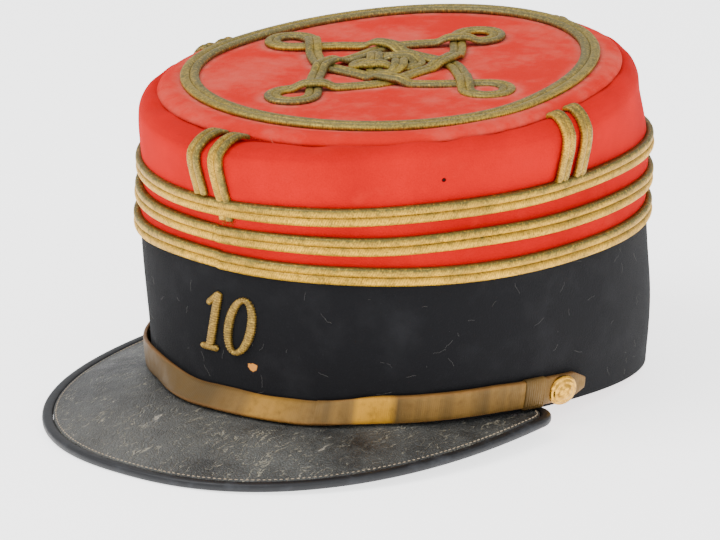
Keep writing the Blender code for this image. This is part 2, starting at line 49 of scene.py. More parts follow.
# Rows from the rim to the top seam, in mm: z at the front and back, y at the front and back,
# half width, y where it is widest, and how square the front and back halves are.
WALL = np.array((
    (13.0, 0.0, -71.2, 123.2, 78.3, 22.5, 2.18, 2.40),
    (39.0, 32.0, -70.6, 121.3, 82.1, 21.3, 2.20, 2.35),
    (65.2, 63.7, -70.4, 118.5, 84.3, 19.2, 2.20, 2.20),
    (85.0, 85.0, -73.3, 119.5, 82.4, 18.6, 2.08, 2.30),
    (101.0, 106.0, -78.2, 119.9, 86.0, 16.9, 1.85, 1.95),
    (105.8, 113.5, -75.7, 117.9, 84.9, 14.9, 1.88, 2.00),
    (107.9, 118.3, -69.6, 113.3, 81.6, 12.8, 1.95, 2.08),
    (107.3, 119.0, -63.2, 108.4, 78.5, 10.8, 2.03, 2.15),
))
FIELD = np.array((107.3, 119.0, -52.7, 102.2, 73.0, 10.1, 1.98, 2.02))


def colour(code):
    """Linear colour from an sRGB hex code."""
    values = [int(code[i:i + 2], 16) / 255 for i in (1, 3, 5)]
    return tuple(v / 12.92 if v <= 0.04045 else ((v + 0.055) / 1.055) ** 2.4 for v in values) + (1.0,)


def add(tree, kind, links=None, **settings):
    """Adds a node with its settings. Links gives each input, by name or number, a value, a socket, or a
    node, whose first output it then takes. Numbers are used where names repeat: a Map Range node takes its
    value at 0, what it reads at 1 and 2 and what it gives at 3 and 4; a Mix node takes its share at 0 and
    its colours at 6 and 7."""
    made = tree.nodes.new(kind)
    for key, value in settings.items():
        setattr(made, key, value)
    for key, value in (links or {}).items():
        if isinstance(value, bpy.types.Node):
            value = next(socket for socket in value.outputs if socket.enabled)
        if isinstance(value, bpy.types.NodeSocket):
            tree.links.new(value, made.inputs[key])
        else:
            made.inputs[key].default_value = value
    return made


def finish_named(name):
    """A new material and its empty tree."""
    made = bpy.data.materials.new(name)
    made.use_nodes = True
    made.node_tree.nodes.clear()
    return made, made.node_tree


def layered(tree, base, *layers):
    """Lays colours over a base. Each layer names what it reads, the values of that where its colour begins
    and where it is full, the share that the colour then takes, and the colour."""
    for source, begin, full, most, code in layers:
        share = add(tree, "ShaderNodeMapRange", {0: source, 1: begin, 2: full, 4: most})
        base = add(tree, "ShaderNodeMix", {0: share, 6: base, 7: colour(code)}, data_type="RGBA")
    return base


def smooth(a, b, c, d, f):
    """What lies at share f from b to c, on a smooth curve through a, b, c and d."""
    square, cube = 2 * a - 5 * b + 4 * c - d, 3 * b - a - 3 * c + d
    return (2 * b + (c - a) * f + square * f ** 2 + cube * f ** 3) / 2


def row_at(t):
    """Row of the wall at t, counted in rows, on a smooth curve through the table."""
    t = np.clip(np.atleast_1d(np.asarray(t, float)), 0, len(WALL) - 1 - 1e-9)
    i = t.astype(int)
    around = np.clip((i - 1, i, i + 1, i + 2), 0, len(WALL) - 1)
    return smooth(*WALL[around], (t - i)[:, None])


def oval(row, angle, grow=0.0, rise=0.0):
    """Points of ovals at angles: 0 is the front, a quarter turn is the wearer's left."""
    row = np.asarray(row)
    front_z, back_z, front, back, half, widest, square_f, square_b = np.moveaxis(row, -1, 0)
    c, s = np.cos(angle), np.sin(angle)
    power = 2 / np.where(c > 0, square_f, square_b)
    reach = np.where(c > 0, widest - front, back - widest) + grow
    x = (half + grow) * np.sign(s) * np.abs(s) ** power
    y = widest - reach * np.sign(c) * np.abs(c) ** power
    z = front_z + (back_z - front_z) * (y - front) / (back - front) + rise
    return np.stack((x, y, z), -1)


def unit(vectors):
    """The vectors at length 1."""
    return vectors / np.linalg.norm(vectors, axis=-1, keepdims=True)


def wall(t, angle):
    """Points on the outside of the wall, and the direction out of the cloth there."""
    t, angle = np.broadcast_arrays(np.asarray(t, float), np.asarray(angle, float))
    shape, t, angle = t.shape, t.ravel(), angle.ravel()
    points = oval(row_at(t), angle)
    along = oval(row_at(t), angle + 0.01) - oval(row_at(t), angle - 0.01)
    up = oval(row_at(t + 0.02), angle) - oval(row_at(t - 0.02), angle)
    return points.reshape(*shape, 3), unit(np.cross(along, up)).reshape(*shape, 3)


def even_angles(count):
    """Angles that share a full turn."""
    return np.arange(count) * 2 * pi / count


def soft_waves(x, y, z, size, seed):
    """A few crossing waves, for the slow unevenness of cloth; about -1 to 1."""
    pick = np.random.default_rng(seed)
    total = 0
    for _ in range(6):
        a, b, c = pick.normal(size=3) / size
        total = total + np.sin(a * x + b * y + c * z + pick.uniform(0, 2 * pi))
    return total / 3


def skin(name, grid, across=False, down=False, marks=None):
    """Mesh over a grid of points in mm. Across and down say which way the grid closes on itself."""
    rows, columns = grid.shape[:2]
    index = np.arange(rows * columns).reshape(rows, columns)
    if across:
        index = np.concatenate((index, index[:, :1]), 1)
    if down:
        index = np.concatenate((index, index[:1]), 0)
    quads = np.stack((index[:-1, :-1], index[:-1, 1:], index[1:, 1:], index[1:, :-1]), -1).reshape(-1, 4)
    mesh = bpy.data.meshes.new(name)
    mesh.from_pydata((grid.reshape(-1, 3) * MM).tolist(), [], quads.tolist())
    for mark, values in (marks or {}).items():
        made = mesh.attributes.new(mark, "FLOAT", "POINT")
        made.data.foreach_set("value", np.broadcast_to(values, (rows, columns)).astype(np.float32).ravel())
    return piece(name, mesh)


def new_object(name, data):
    """A new object in the scene."""
    made = bpy.data.objects.new(name, data)
    bpy.context.scene.collection.objects.link(made)
    return made


def piece(name, mesh):
    """An object for a mesh, with its faces turned out and shaded smooth."""
    work = bmesh.new()
    work.from_mesh(mesh)
    bmesh.ops.recalc_face_normals(work, faces=work.faces)
    work.to_mesh(mesh)
    work.free()
    mesh.shade_smooth()
    return new_object(name, mesh)


def dress(item, finish, slot, *nodes):
    """Gives a piece its material and its body, and hides the CAD parts it stands for. The slot is not used.
    """
    item.data.materials.clear()
    item.data.materials.append(finish)
    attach(item, "root")
    if nodes:
        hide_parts(*nodes)


def near(tree, place, spot, low, high):
    """1 within low mm of a spot given in mm, falling to 0 at high mm."""
    gap = add(tree, "ShaderNodeVectorMath", {0: place, 1: [v * MM for v in spot]}, operation="DISTANCE")
    return add(tree, "ShaderNodeMapRange", {0: gap, 1: low * MM, 2: high * MM, 3: 1, 4: 0})


theta = even_angles(AROUND)
rise = np.linspace(0, BAND_TOP, 40)
outer, out = wall(rise[:, None], theta[None])
uneven = 0.45 * soft_waves(outer[..., 0], outer[..., 1], outer[..., 2] * 2, 26, 3)
outer = outer + out * uneven[..., None] * np.clip(rise / 0.4, 0, 1)[:, None, None]
inner = outer - out * CLOTH_THICKNESS
hem = [outer[0] + (inner[0] - outer[0]) * (0.5 - 0.5 * cos(a)) - np.array((0, 0, 0.15 * sin(a)))
       for a in (pi * 0.25, pi * 0.5, pi * 0.75)]
band = skin("band_cloth", np.concatenate((outer, inner[::-1], np.array(hem)[::-1])), across=True, down=True)

# To the eye: soft and near black, without a shine, with fine grey flecks and slow worn clouds in the nap.
# At the worn spot the tan canvas shows, with a ragged edge.
band_wool, tree = finish_named("milled navy wool cloth")
place = add(tree, "ShaderNodeTexCoord").outputs["Object"]
slow, fine, ragged = (
    add(tree, "ShaderNodeTexNoise", {"Vector": place, "Scale": scale, "Detail": detail, "Roughness": rough})
    for scale, detail, rough in ((60, 5, 0.6), (1500, 3, 0.7), (380, 3, 0.6)))
lost = add(tree, "ShaderNodeMath", {0: near(tree, place, WORN_SPOT, 0.0, 3.6), 1: ragged}, operation="ADD")
base = layered(tree, colour(BAND_COLOUR), (slow, 0.5, 0.78, 1, BAND_WORN),
               (fine, 0.6, 0.8, 0.5, BAND_FLECK), (lost, 1.02, 1.08, 1, BAND_CANVAS))
height = add(tree, "ShaderNodeMath", {0: fine, 1: slow}, operation="ADD")
bump = add(tree, "ShaderNodeBump", {"Height": height, "Distance": 0.25 * MM})
shader = add(tree, "ShaderNodeBsdfPrincipled", {
    "Base Color": base, "Roughness": 0.95, "Specular IOR Level": 0.12, "Sheen Weight": 0.03,
    "Sheen Roughness": 0.45, "Normal": bump})
add(tree, "ShaderNodeOutputMaterial", {"Surface": shader})
dress(band, band_wool, "band_wool", "band")

# Crown side: madder red wool cloth, softly stuffed so that it swells over the braids and rolls in to
# the top seam, where the stitching draws it into small puckers.
RED, RED_DEEP, RED_WORN = "#C40303", "#AE0302", "#C81A12"
HOLE_SHADE_SPOT = (69.4, -34.7, 97.8)       # a small hole, drawn as a dark spot of painted shade

rise = np.concatenate((np.linspace(BAND_TOP, 5.0, 40), np.linspace(5.05, TOP_SEAM, 36)))
outer, out = wall(rise[:, None], theta[None])
uneven = 0.55 * soft_waves(outer[..., 0], outer[..., 1], outer[..., 2] * 1.5, 20, 8)
pucker = soft_waves(theta[None] * 90, 0 * theta[None], rise[:, None] * 2, 3.2, 5)
pucker = pucker * np.clip(rise - 5.2, 0, 1)[:, None]
outer = outer + out * (uneven * np.clip((rise - BAND_TOP) / 0.6, 0, 1)[:, None] + 0.35 * pucker)[..., None]
inner = outer - out * CLOTH_THICKNESS
crown = skin("crown_side_cloth", np.concatenate((outer, inner[::-1])), across=True, down=True)

# To the eye: a deep warm red without a shine, rubbed lighter in clouds, with a fine paler nap that glows
# a little along its edges.
red_wool, tree = finish_named("madder red wool cloth")
place = add(tree, "ShaderNodeTexCoord").outputs["Object"]
slow, worn, fine = (
    add(tree, "ShaderNodeTexNoise", {"Vector": place, "Scale": scale, "Detail": detail, "Roughness": rough})
    for scale, detail, rough in ((45, 5, 0.6), (90, 6, 0.6), (1500, 3, 0.7)))
# the dark spot at the hole is painted shade
base = layered(tree, colour(RED), (slow, 0.3, 0.7, 1, RED_DEEP), (worn, 0.56, 0.8, 0.7, RED_WORN),
               (fine, 0.6, 0.8, 0.3, "#C42E22"),
               (near(tree, place, HOLE_SHADE_SPOT, 0.6, 0.9), 0, 1, 1, "#140606"))
height = add(tree, "ShaderNodeMath", {0: fine, 1: slow}, operation="ADD")
bump = add(tree, "ShaderNodeBump", {"Height": height, "Distance": 0.22 * MM})
shader = add(tree, "ShaderNodeBsdfPrincipled", {
    "Base Color": base, "Roughness": 0.95, "Specular IOR Level": 0.1, "Sheen Weight": 0.05,
    "Sheen Tint": colour("#FF5A48"), "Normal": bump})
add(tree, "ShaderNodeOutputMaterial", {"Surface": shader})
dress(crown, red_wool, "crown_cloth", "crown_side")

# Top disc: the same red wool cloth, faded and dusty, sewn on over a padded edge that rolls down on to the
# seam. Pale dust lies along the braids, where a brush doesn't reach.
DISC_FADED, DISC_RED, DUST = "#CE2A1E", "#C6160E", "#C09884"
ROLL_RISE = 3.3                      # height of the disc's cloth over the seam
BRAID_OFF = 0.25                     # the braids' backs lie this far over the disc's cloth


def disc_height(y):
    """Height of the top disc's cloth."""
    low, high, front, back = FIELD[:4]
    return low + (high - low) * (y - front) / (back - front) + ROLL_RISE


reach = np.linspace(0.02, 1, 64)
centre = np.array((0, 12.0))
rim = oval(FIELD, theta)
field = np.zeros((len(reach), AROUND, 3))
field[..., :2] = centre + reach[:, None, None] * (rim[None, :, :2] - centre)
field[..., 2] = disc_height(field[..., 1])
field[..., 2] += 0.5 * soft_waves(field[..., 0], field[..., 1], 0, 16, 2) * (1 - reach[:, None] ** 6)
seam = WALL[-1]
degrees = np.degrees(np.where(theta > pi, theta - 2 * pi, theta))
slot = 0.9 * np.exp(-((degrees - 1) / 7) ** 2)        # the stitching has given way over the front braids
roll = [oval(seam, theta, grow, up + slot * share) for grow, up, share in (
    (-6.0, ROLL_RISE + 0.1, 0), (-4.4, ROLL_RISE + 0.1, 0), (-3.0, 3.2, 0), (-1.7, 2.8, 0),
    (-0.6, 2.2, 0.2), (0.15, 1.5, 0.6), (0.5, 0.8, 1), (0.4, 0.15, 1), (-0.2, -0.15, 1), (-2.0, 0.0, 1),
    (-5.0, 0.6, 0.5))]
grid = np.concatenate((field, np.array(roll), (field[::-1] - np.array((0, 0, 2.2)))))

# Braid rings: flat gold braid of two round cords, each wrapped in gold thread laid slantwise round
# it, sewn round the crown in three rows. The lower cords are bright; the upper ones are darker with
# tarnish and painted shade.
BRAID_WIDTH, BRAID_HIGH = 6.2, 1.9
RIB_PITCH, RIB_DEPTH = 0.9, 0.07     # thread wraps are 0.3 mm; they are drawn three times as coarse
GOLD_BRIGHT, GOLD_DULL, GOLD_TARNISH_AND_SHADE, GOLD_DEEP = "#F4BA18", "#CC9A1C", "#6A602C", "#42320A"
GOLD_GRAIN = "#F6C840"
STATION = 0.3                        # from one row of a braid's mesh to the next


def two_cords(width, high, corners=7):
    """Section of the braid: two round cords side by side on a flat back."""
    half = width / 4
    bows = [(side * half - half * cos(a), high * (0.5 + 0.5 * sin(a)))
            for side in (-1, 1) for a in np.linspace(0.12, pi - 0.12, corners)]
    return np.array([(-width / 2, 0.0), *bows, (width / 2, 0.0)])


def run_length(path, closed):
    """How far along a path each point is, and the path's length."""
    steps = np.linalg.norm(np.diff(path, axis=0, append=path[:1]), axis=1)
    total = steps.sum() if closed else steps[:-1].sum()
    return np.concatenate(((0,), np.cumsum(steps)[:-1])), total


def even_path(path, spacing, closed, *others):
    """The path, and values that go with it, at even distances."""
    along, total = run_length(path, closed)
    count = max(int(round(total / spacing)), 2)
    wanted = np.linspace(0, total, count, endpoint=not closed)
    found = []
    for values in (path, *others):
        values = np.asarray(values, float).reshape(len(path), -1)
        if closed:
            values, at = np.concatenate((values, values[:1])), np.append(along, total)
        else:
            at = along
        found.append(np.stack([np.interp(wanted, at, column) for column in values.T], -1))
    return found


def direction(path, closed):
    """The way a path runs at each of its points."""
    run = np.roll(path, -1, 0) - np.roll(path, 1, 0)
    if not closed:
        run[0], run[-1] = path[1] - path[0], path[-1] - path[-2]
    return unit(run)


def swept(name, path, face, section, closed, pitch):
    """Mesh of a section carried along a path, facing out of the cloth."""
    path, face = even_path(path, STATION, closed, face)
    run = direction(path, closed)
    face = unit(face - (face * run).sum(1, keepdims=True) * run)
    side = np.cross(face, run)
    grid = path[:, None] + side[:, None] * section[None, :, :1] + face[:, None] * section[None, :, 1:]
    along, total = run_length(path, closed)
    ribs = max(round(total / pitch), 1)
    marks = {"rib": (along / total * ribs)[:, None],
             "across": (section[:, 0] / abs(section[:, 0]).max())[None]}
    made = skin(name, grid, across=True, down=closed, marks=marks)
    if not closed:
        close_ends(made, len(section))
    return made


def close_ends(item, count):
    """Closes the two ends of a tube whose rows have count points."""
    work = bmesh.new()
    work.from_mesh(item.data)
    work.verts.ensure_lookup_table()
    work.faces.new([work.verts[i] for i in range(count)])
    work.faces.new([work.verts[len(work.verts) - 1 - i] for i in range(count)])
    bmesh.ops.recalc_face_normals(work, faces=work.faces)
    work.to_mesh(item.data)
    work.free()
    item.data.shade_smooth()


def grown(item, tree, **sizes):
    """Runs a node tree on an object once and keeps the result as its mesh."""
    modifier = item.modifiers.new(tree.name, "NODES")
    modifier.node_group = tree
    names = {s.name: s.identifier for s in tree.interface.items_tree if s.item_type == "SOCKET"}
    for name, value in sizes.items():
        modifier[names[name.replace("_", " ")]] = value
    made = bpy.data.meshes.new_from_object(item.evaluated_get(bpy.context.evaluated_depsgraph_get()))
    item.modifiers.remove(modifier)
    item.data = made
    return item


def sockets(name, inputs):
    """A geometry tree with the named inputs, and its group input node."""
    tree = bpy.data.node_groups.new(name, "GeometryNodeTree")
    tree.interface.new_socket("Geometry", in_out="INPUT", socket_type="NodeSocketGeometry")
    for title, kind, value in inputs:
        socket = tree.interface.new_socket(title, in_out="INPUT", socket_type=kind)
        if value is not None:
            socket.default_value = value
    tree.interface.new_socket("Geometry", in_out="OUTPUT", socket_type="NodeSocketGeometry")
    return tree, add(tree, "NodeGroupInput")


# Wraps of thread: ridges that run slantwise over each cord, a little uneven, in the meshes themselves
wraps, given = sockets("thread wraps", (("Depth", "NodeSocketFloat", 0.0001),
                                        ("Slant", "NodeSocketFloat", 2.6),
                                        ("Finish", "NodeSocketMaterial", None)))
turns = add(wraps, "GeometryNodeInputNamedAttribute", {"Name": "rib"}, data_type="FLOAT")
across = add(wraps, "GeometryNodeInputNamedAttribute", {"Name": "across"}, data_type="FLOAT")
slanted = add(wraps, "ShaderNodeMath", {0: across, 1: given.outputs["Slant"]}, operation="MULTIPLY")
turns = add(wraps, "ShaderNodeMath", {0: turns, 1: slanted}, operation="ADD")
place = add(wraps, "GeometryNodeInputPosition")
ragged = add(wraps, "ShaderNodeTexNoise", {"Vector": place, "Scale": 260.0, "Detail": 2.0})
ragged = add(wraps, "ShaderNodeMath", {0: ragged, 1: 1.6}, operation="MULTIPLY")
turns = add(wraps, "ShaderNodeMath", {0: turns, 1: ragged}, operation="ADD")
phase = add(wraps, "ShaderNodeMath", {0: turns, 1: 2 * pi}, operation="MULTIPLY")
wave = add(wraps, "ShaderNodeMath", {0: phase}, operation="COSINE")
height = add(wraps, "ShaderNodeMath", {0: wave, 1: given.outputs["Depth"]}, operation="MULTIPLY")
normal = add(wraps, "GeometryNodeInputNormal")
offset = add(wraps, "ShaderNodeVectorMath", {0: normal, "Scale": height}, operation="SCALE")
kept = add(wraps, "GeometryNodeStoreNamedAttribute", {"Geometry": given, "Name": "ridge", "Value": wave},
           data_type="FLOAT", domain="POINT")
moved = add(wraps, "GeometryNodeSetPosition", {"Geometry": kept, "Offset": offset})
real = add(wraps, "GeometryNodeRealizeInstances", {"Geometry": moved})
painted = add(wraps, "GeometryNodeSetMaterial", {"Geometry": real, "Material": given.outputs["Finish"]})
add(wraps, "NodeGroupOutput", {"Geometry": painted})


def gold(name, bright, dull, tarnish, dirt, shaded_side=0.0):
    """Gold thread: metal wound round silk. To the eye it glints on the ridges of its wraps and is brown
    between them with painted shade and tarnish, darker with painted shade in the groove between its two
    cords, grainy where the metal is lost, dirty on what faces up, and darker along one cord with tarnish
    and
    painted shade: the shaded side is 1, -1 or 0 for neither."""
    finish, tree = finish_named(name)
    place = add(tree, "ShaderNodeTexCoord").outputs["Object"]
    ridge = add(tree, "ShaderNodeAttribute", attribute_name="ridge").outputs["Fac"]
    across = add(tree, "ShaderNodeAttribute", attribute_name="across").outputs["Fac"]
    slow, mid, fine, grain = (
        add(tree, "ShaderNodeTexNoise",
            {"Vector": place, "Scale": scale, "Detail": detail, "Roughness": rough})
        for scale, detail, rough in ((40, 4, 0.6), (240, 4, 0.6), (2600, 2, 0.7), (1100, 3, 0.7)))
    facing = add(tree, "ShaderNodeNewGeometry").outputs["Normal"]
    up = add(tree, "ShaderNodeSeparateXYZ", {0: facing}).outputs["Z"]
    above = add(tree, "ShaderNodeMapRange", {0: up, 1: 0.15, 2: 0.8, 4: dirt})
    patches = add(tree, "ShaderNodeMapRange", {0: mid, 1: 0.5, 2: 0.72, 4: 0.5})
    dirt_tarnish_and_shade = add(tree, "ShaderNodeMath", {0: above, 1: patches}, operation="ADD")
    # one cord is made darker here: tarnish and painted shade
    edge = add(tree, "ShaderNodeMath", {0: across, 1: shaded_side}, operation="MULTIPLY")
    edge = add(tree, "ShaderNodeMapRange", {0: edge, 1: 0.1, 2: 0.9, 4: 0.75})
    dirt_tarnish_and_shade = add(tree, "ShaderNodeMath", {0: dirt_tarnish_and_shade, 1: edge}, operation="ADD")
    # the groove between the two cords is darkened: painted shade
    groove = add(tree, "ShaderNodeMath", {0: across}, operation="ABSOLUTE")
    # the ridge layer darkens the thread between its wraps: painted shade and tarnish
    base = layered(tree, colour(bright), (slow, 0.36, 0.62, 1, dull), (dirt_tarnish_and_shade, 0, 1, 1, tarnish),
                   (ridge, 0.3, -1.0, 0.6, GOLD_DEEP), (grain, 0.5, 0.66, 0.6, GOLD_DEEP),
                   (grain, 0.46, 0.32, 0.4, GOLD_GRAIN), (groove, 0.08, 0.0, 0.5, GOLD_DEEP))
    gloss = add(tree, "ShaderNodeMapRange", {0: mid, 1: 0.3, 2: 0.7, 3: 0.42, 4: 0.6})
    bump = add(tree, "ShaderNodeBump", {"Height": fine, "Distance": 0.06 * MM})
    shader = add(tree, "ShaderNodeBsdfPrincipled", {
        "Base Color": base, "Metallic": 0.55, "Roughness": gloss, "Normal": bump})
    add(tree, "ShaderNodeOutputMaterial", {"Surface": shader})
    return finish


def braid(name, path, face, section, closed, finish, slot, node):
    """A length of braid: its two cords, their wraps of thread and its finish."""
    made = swept(name, path, face, section, closed, RIB_PITCH)
    grown(made, wraps, Depth=RIB_DEPTH * MM, Finish=finish)
    dress(made, finish, slot, node)


# To the eye: the brightest gold of the cap, with the upper cord of each ring darker with tarnish and
# painted shade
gold_braid = gold("gold thread braid", GOLD_BRIGHT, GOLD_DULL, GOLD_TARNISH_AND_SHADE, 0.5, 1.0)
cords = two_cords(BRAID_WIDTH, BRAID_HIGH)
cords[[0, -1], 1] = -0.7      # pressed into the cloth, so that no light passes behind them
angles = even_angles(1400)
front = np.clip(np.cos(angles), 0, 1) ** 3
for name, level, dip in (("lower", 64.9, 0.0), ("middle", 76.3, 1.5), ("upper", 87.4, 2.6)):
    # t, in rows of the wall, where the wall's front is at this level
    levels = np.linspace(1.5, 4.5, 400)
    t = np.interp(level - dip * front, row_at(levels)[:, 0], levels)
    wobble = 0.02 * soft_waves(angles * 60, 0, 0, 12, int(level))
    path, face = wall(t + wobble, angles)
    braid(f"braid_ring_{name}_gold", path + face * 0.5, face, cords, True, gold_braid, "gold_braid",
          f"braid_ring_{name}")

# Braids on the top disc: the same braid in one oval ring and in the interlaced knot of rank, four eyes
# round a woven middle. They lie flat, catch the dust and have gone grey-green with tarnish.
KNOT_BRAID_WIDTH, KNOT_BRAID_HIGH = 5.9, 1.6
KNOT_HALF_LENGTH, KNOT_HALF_WIDTH, KNOT_TURN, KNOT_CENTRE = 53.5, 58.0, -6.0, (-2.6, 21.4)
LINK_HALF_LENGTH, LINK_HALF_WIDTH = 11.0, 4.5
KNOT_RAMP = 4.2                      # run of a strand from the cloth up to a crossing
DISC_FACE = (0.0, -0.075, 1.0)       # the way the disc faces
# To the eye: a grey-green gold with little glint, one cord darker with tarnish and painted shade
old_braid = gold("tarnished gold braid", "#B89A30", "#948236", "#726A40", 0.5, 1.0)

path = oval(FIELD, angles, -3.2, ROLL_RISE + BRAID_OFF)
face = np.tile(DISC_FACE, (len(path), 1))
braid("top_ring_gold", path, face, two_cords(6.8, 1.9), True, old_braid, "tarnished_braid",
      "top_ring_braid")

# One half of a knot loop, as shares of its half length and half width
quarter = [(1.0, 0.0), (0.94, 0.105), (0.82, 0.12), (0.67, 0.0), (0.5, -0.155), (0.3, -0.27), (0.0, -0.27)]
half = quarter + [(-u, v) for u, v in quarter[-2::-1]]
corners = np.array(half + [(u, -v) for u, v in half[-2:0:-1]])


def smooth_loop(points, steps):
    """Closed smooth curve through flat points."""
    around = [np.roll(points, shift, 0)[:, None] for shift in (1, 0, -1, -2)]
    return smooth(*around, (np.arange(steps) / steps)[None, :, None]).reshape(-1, 2)


def link_loop(turn):
    """Outline of a small link, turned by an angle."""
    a = even_angles(120) + 0.01
    x = LINK_HALF_WIDTH * np.cos(a) + np.sign(np.cos(a)) * (LINK_HALF_LENGTH - LINK_HALF_WIDTH)
    y = LINK_HALF_WIDTH * np.sin(a)
    return np.stack((x * cos(turn) - y * sin(turn), x * sin(turn) + y * cos(turn)), -1)


lengthwise = smooth_loop(corners[:, ::-1] * (KNOT_HALF_WIDTH, KNOT_HALF_LENGTH), 24)
crosswise = smooth_loop(corners * (KNOT_HALF_WIDTH, KNOT_HALF_LENGTH), 24)
loops = [even_path(loop, 0.5, True)[0]
         for loop in (lengthwise, crosswise, link_loop(pi / 4), link_loop(-pi / 4))]


def meetings(first, second, same):
    """Where two loops cross, as pairs of point numbers."""
    p, r = first, np.roll(first, -1, 0) - first
    q, s = second, np.roll(second, -1, 0) - second
    cross = r[:, None, 0] * s[None, :, 1] - r[:, None, 1] * s[None, :, 0]
    gap = q[None] - p[:, None]
    with np.errstate(divide="ignore", invalid="ignore"):
        t = (gap[..., 0] * s[None, :, 1] - gap[..., 1] * s[None, :, 0]) / cross
        u = (gap[..., 0] * r[:, None, 1] - gap[..., 1] * r[:, None, 0]) / cross
    hit = (t >= 0) & (t < 1) & (u >= 0) & (u < 1)
    pairs = [(int(i), int(j)) for i, j in zip(*np.nonzero(hit))]
    apart = len(first)
    return [(i, j) for i, j in pairs if not same or (i < j and 2 < j - i < apart - 2)]


pairs = []
for a in range(4):
    for b in range(a, 4):
        pairs += [((a, i), (b, j)) for i, j in meetings(loops[a], loops[b], a == b)]
partner = {x: y for pair in pairs for x, y in (pair, pair[::-1])}
over = {}                            # a strand goes over and under by turns
for start in sorted(partner):
    waiting = [] if start in over else [(start, True)]
    while waiting:
        visit, state = waiting.pop()
        if visit in over:
            continue
        over[visit] = state
        row = sorted(v for v in partner if v[0] == visit[0])
        here = row.index(visit)
        waiting += [(v, not state) for v in (partner[visit], row[here - 1], row[(here + 1) % len(row)])]

turn = radians(KNOT_TURN)
spin = np.array(((cos(turn), -sin(turn)), (sin(turn), cos(turn))))
knot_paths = []
for number, (name, loop) in enumerate(zip(("lengthwise", "crosswise", "link_1", "link_2"), loops)):
    along, total = run_length(loop, True)
    lift = np.zeros(len(loop))
    for (which, point), state in over.items():
        if which != number or not state:
            continue
        other = partner[(which, point)]
        mine = unit(loop[(point + 1) % len(loop)] - loop[point])
        theirs = unit(loops[other[0]][(other[1] + 1) % len(loops[other[0]])] - loops[other[0]][other[1]])
        slant = abs(float(mine @ theirs))
        reach = (KNOT_BRAID_WIDTH / 2 + 0.2) * (1 + slant) / (1 - slant * slant) ** 0.5
        off = np.abs(along - along[point])
        off = np.minimum(off, total - off)
        share = np.clip((reach + KNOT_RAMP - off) / KNOT_RAMP, 0, 1)
        lift = np.maximum(lift, (KNOT_BRAID_HIGH + 0.3) * share * share * (3 - 2 * share))
    blur = np.exp(-np.linspace(-2, 2, 13) ** 2)
    lift = np.convolve(np.concatenate((lift[-6:], lift, lift[:6])), blur / blur.sum(), "valid")
    flat = loop @ spin.T + KNOT_CENTRE
    knot_paths.append(flat)
    path = np.column_stack((flat, disc_height(flat[:, 1]) + BRAID_OFF + lift))
    face = np.tile(DISC_FACE, (len(path), 1))
    braid(f"knot_{name}_gold", path, face, two_cords(KNOT_BRAID_WIDTH, KNOT_BRAID_HIGH), True, old_braid,
          "tarnished_braid", f"knot_{name}")

# Dust: its share at each point of the disc's cloth, from the distance to the nearest braid
lines = np.concatenate([oval(FIELD, theta, -3.2)[:, :2]] + [flat[::3] for flat in knot_paths])
points = grid.reshape(-1, 3)[:, :2]
gap = np.min([np.hypot(*(points - line).T) for line in lines], 0)
dust = np.clip(1 - (gap - 3.0) / 5.0, 0, 1) ** 1.5
disc = skin("crown_top_cloth", grid, across=True, down=True, marks={"dust": dust.reshape(grid.shape[:2])})

# To the eye: a chalky, paler red, clouded with grey-pink dust that thickens beside the braids
faded_red, tree = finish_named("faded madder red wool cloth")
place = add(tree, "ShaderNodeTexCoord").outputs["Object"]
dusty = add(tree, "ShaderNodeAttribute", attribute_name="dust").outputs["Fac"]
slow, mid, fine = (
    add(tree, "ShaderNodeTexNoise", {"Vector": place, "Scale": scale, "Detail": detail, "Roughness": rough})
    for scale, detail, rough in ((35, 5, 0.6), (160, 5, 0.7), (1500, 3, 0.7)))
patchy = add(tree, "ShaderNodeMapRange", {0: mid, 1: 0.36, 2: 0.7, 3: 0.08, 4: 0.55})
caught = add(tree, "ShaderNodeMath", {0: dusty, 1: patchy}, operation="MULTIPLY")
cloudy = add(tree, "ShaderNodeMath", {0: mid, 1: 0.5}, operation="MULTIPLY")
cloudy = add(tree, "ShaderNodeMath", {0: slow, 1: cloudy}, operation="ADD")
cloudy = add(tree, "ShaderNodeMapRange", {0: cloudy, 1: 0.7, 2: 1.0, 4: 0.2})
dusty = add(tree, "ShaderNodeMath", {0: caught, 1: cloudy}, operation="MAXIMUM")
base = layered(tree, colour(DISC_RED), (slow, 0.38, 0.62, 1, DISC_FADED), (dusty, 0, 1, 1, DUST),
               (fine, 0.6, 0.8, 0.3, "#C45548"))
height = add(tree, "ShaderNodeMath", {0: fine, 1: mid}, operation="ADD")
bump = add(tree, "ShaderNodeBump", {"Height": height, "Distance": 0.22 * MM})
shader = add(tree, "ShaderNodeBsdfPrincipled", {
    "Base Color": base, "Roughness": 0.95, "Specular IOR Level": 0.1, "Sheen Weight": 0.06,
    "Sheen Tint": colour("#FF7A68"), "Normal": bump})
add(tree, "ShaderNodeOutputMaterial", {"Surface": shader})
dress(disc, faded_red, "disc_cloth", "crown_top")

# Upright braids: short lengths of the same braid in pairs at the front, sides and back. Each starts at
# the rings, climbs over the swell of the crown and is caught in the top seam.
UPRIGHT_SPACING = 9.6
UPRIGHT_LOW, UPRIGHT_TOP = 3.12, 6.75     # t of the wall at their ends
# To the eye: like the rings, with the other cord of each darker with tarnish and painted shade
upright_gold = gold("gold thread braid worn on one cord", "#D8A424", "#A48028", GOLD_TARNISH_AND_SHADE, 0.5, -1.0)


def side_angle(t, side, offset):
    """Angle on the wall at t, a level offset from the middle of one side."""
    front_z, back_z, front, back, half, widest, square_f, square_b = row_at(t).T
    if side in ("front", "back"):
        square = square_f if side == "front" else square_b
        angle = np.sign(offset) * np.arcsin((abs(offset) / half) ** (square / 2))
        return angle if side == "front" else pi - angle
    gap = widest - offset
    square = np.where(gap > 0, square_f, square_b)
    length = np.where(gap > 0, widest - front, back - widest)
    angle = np.arccos(np.sign(gap) * (np.abs(gap) / length) ** (square / 2))
    return angle if side == "left" else -angle


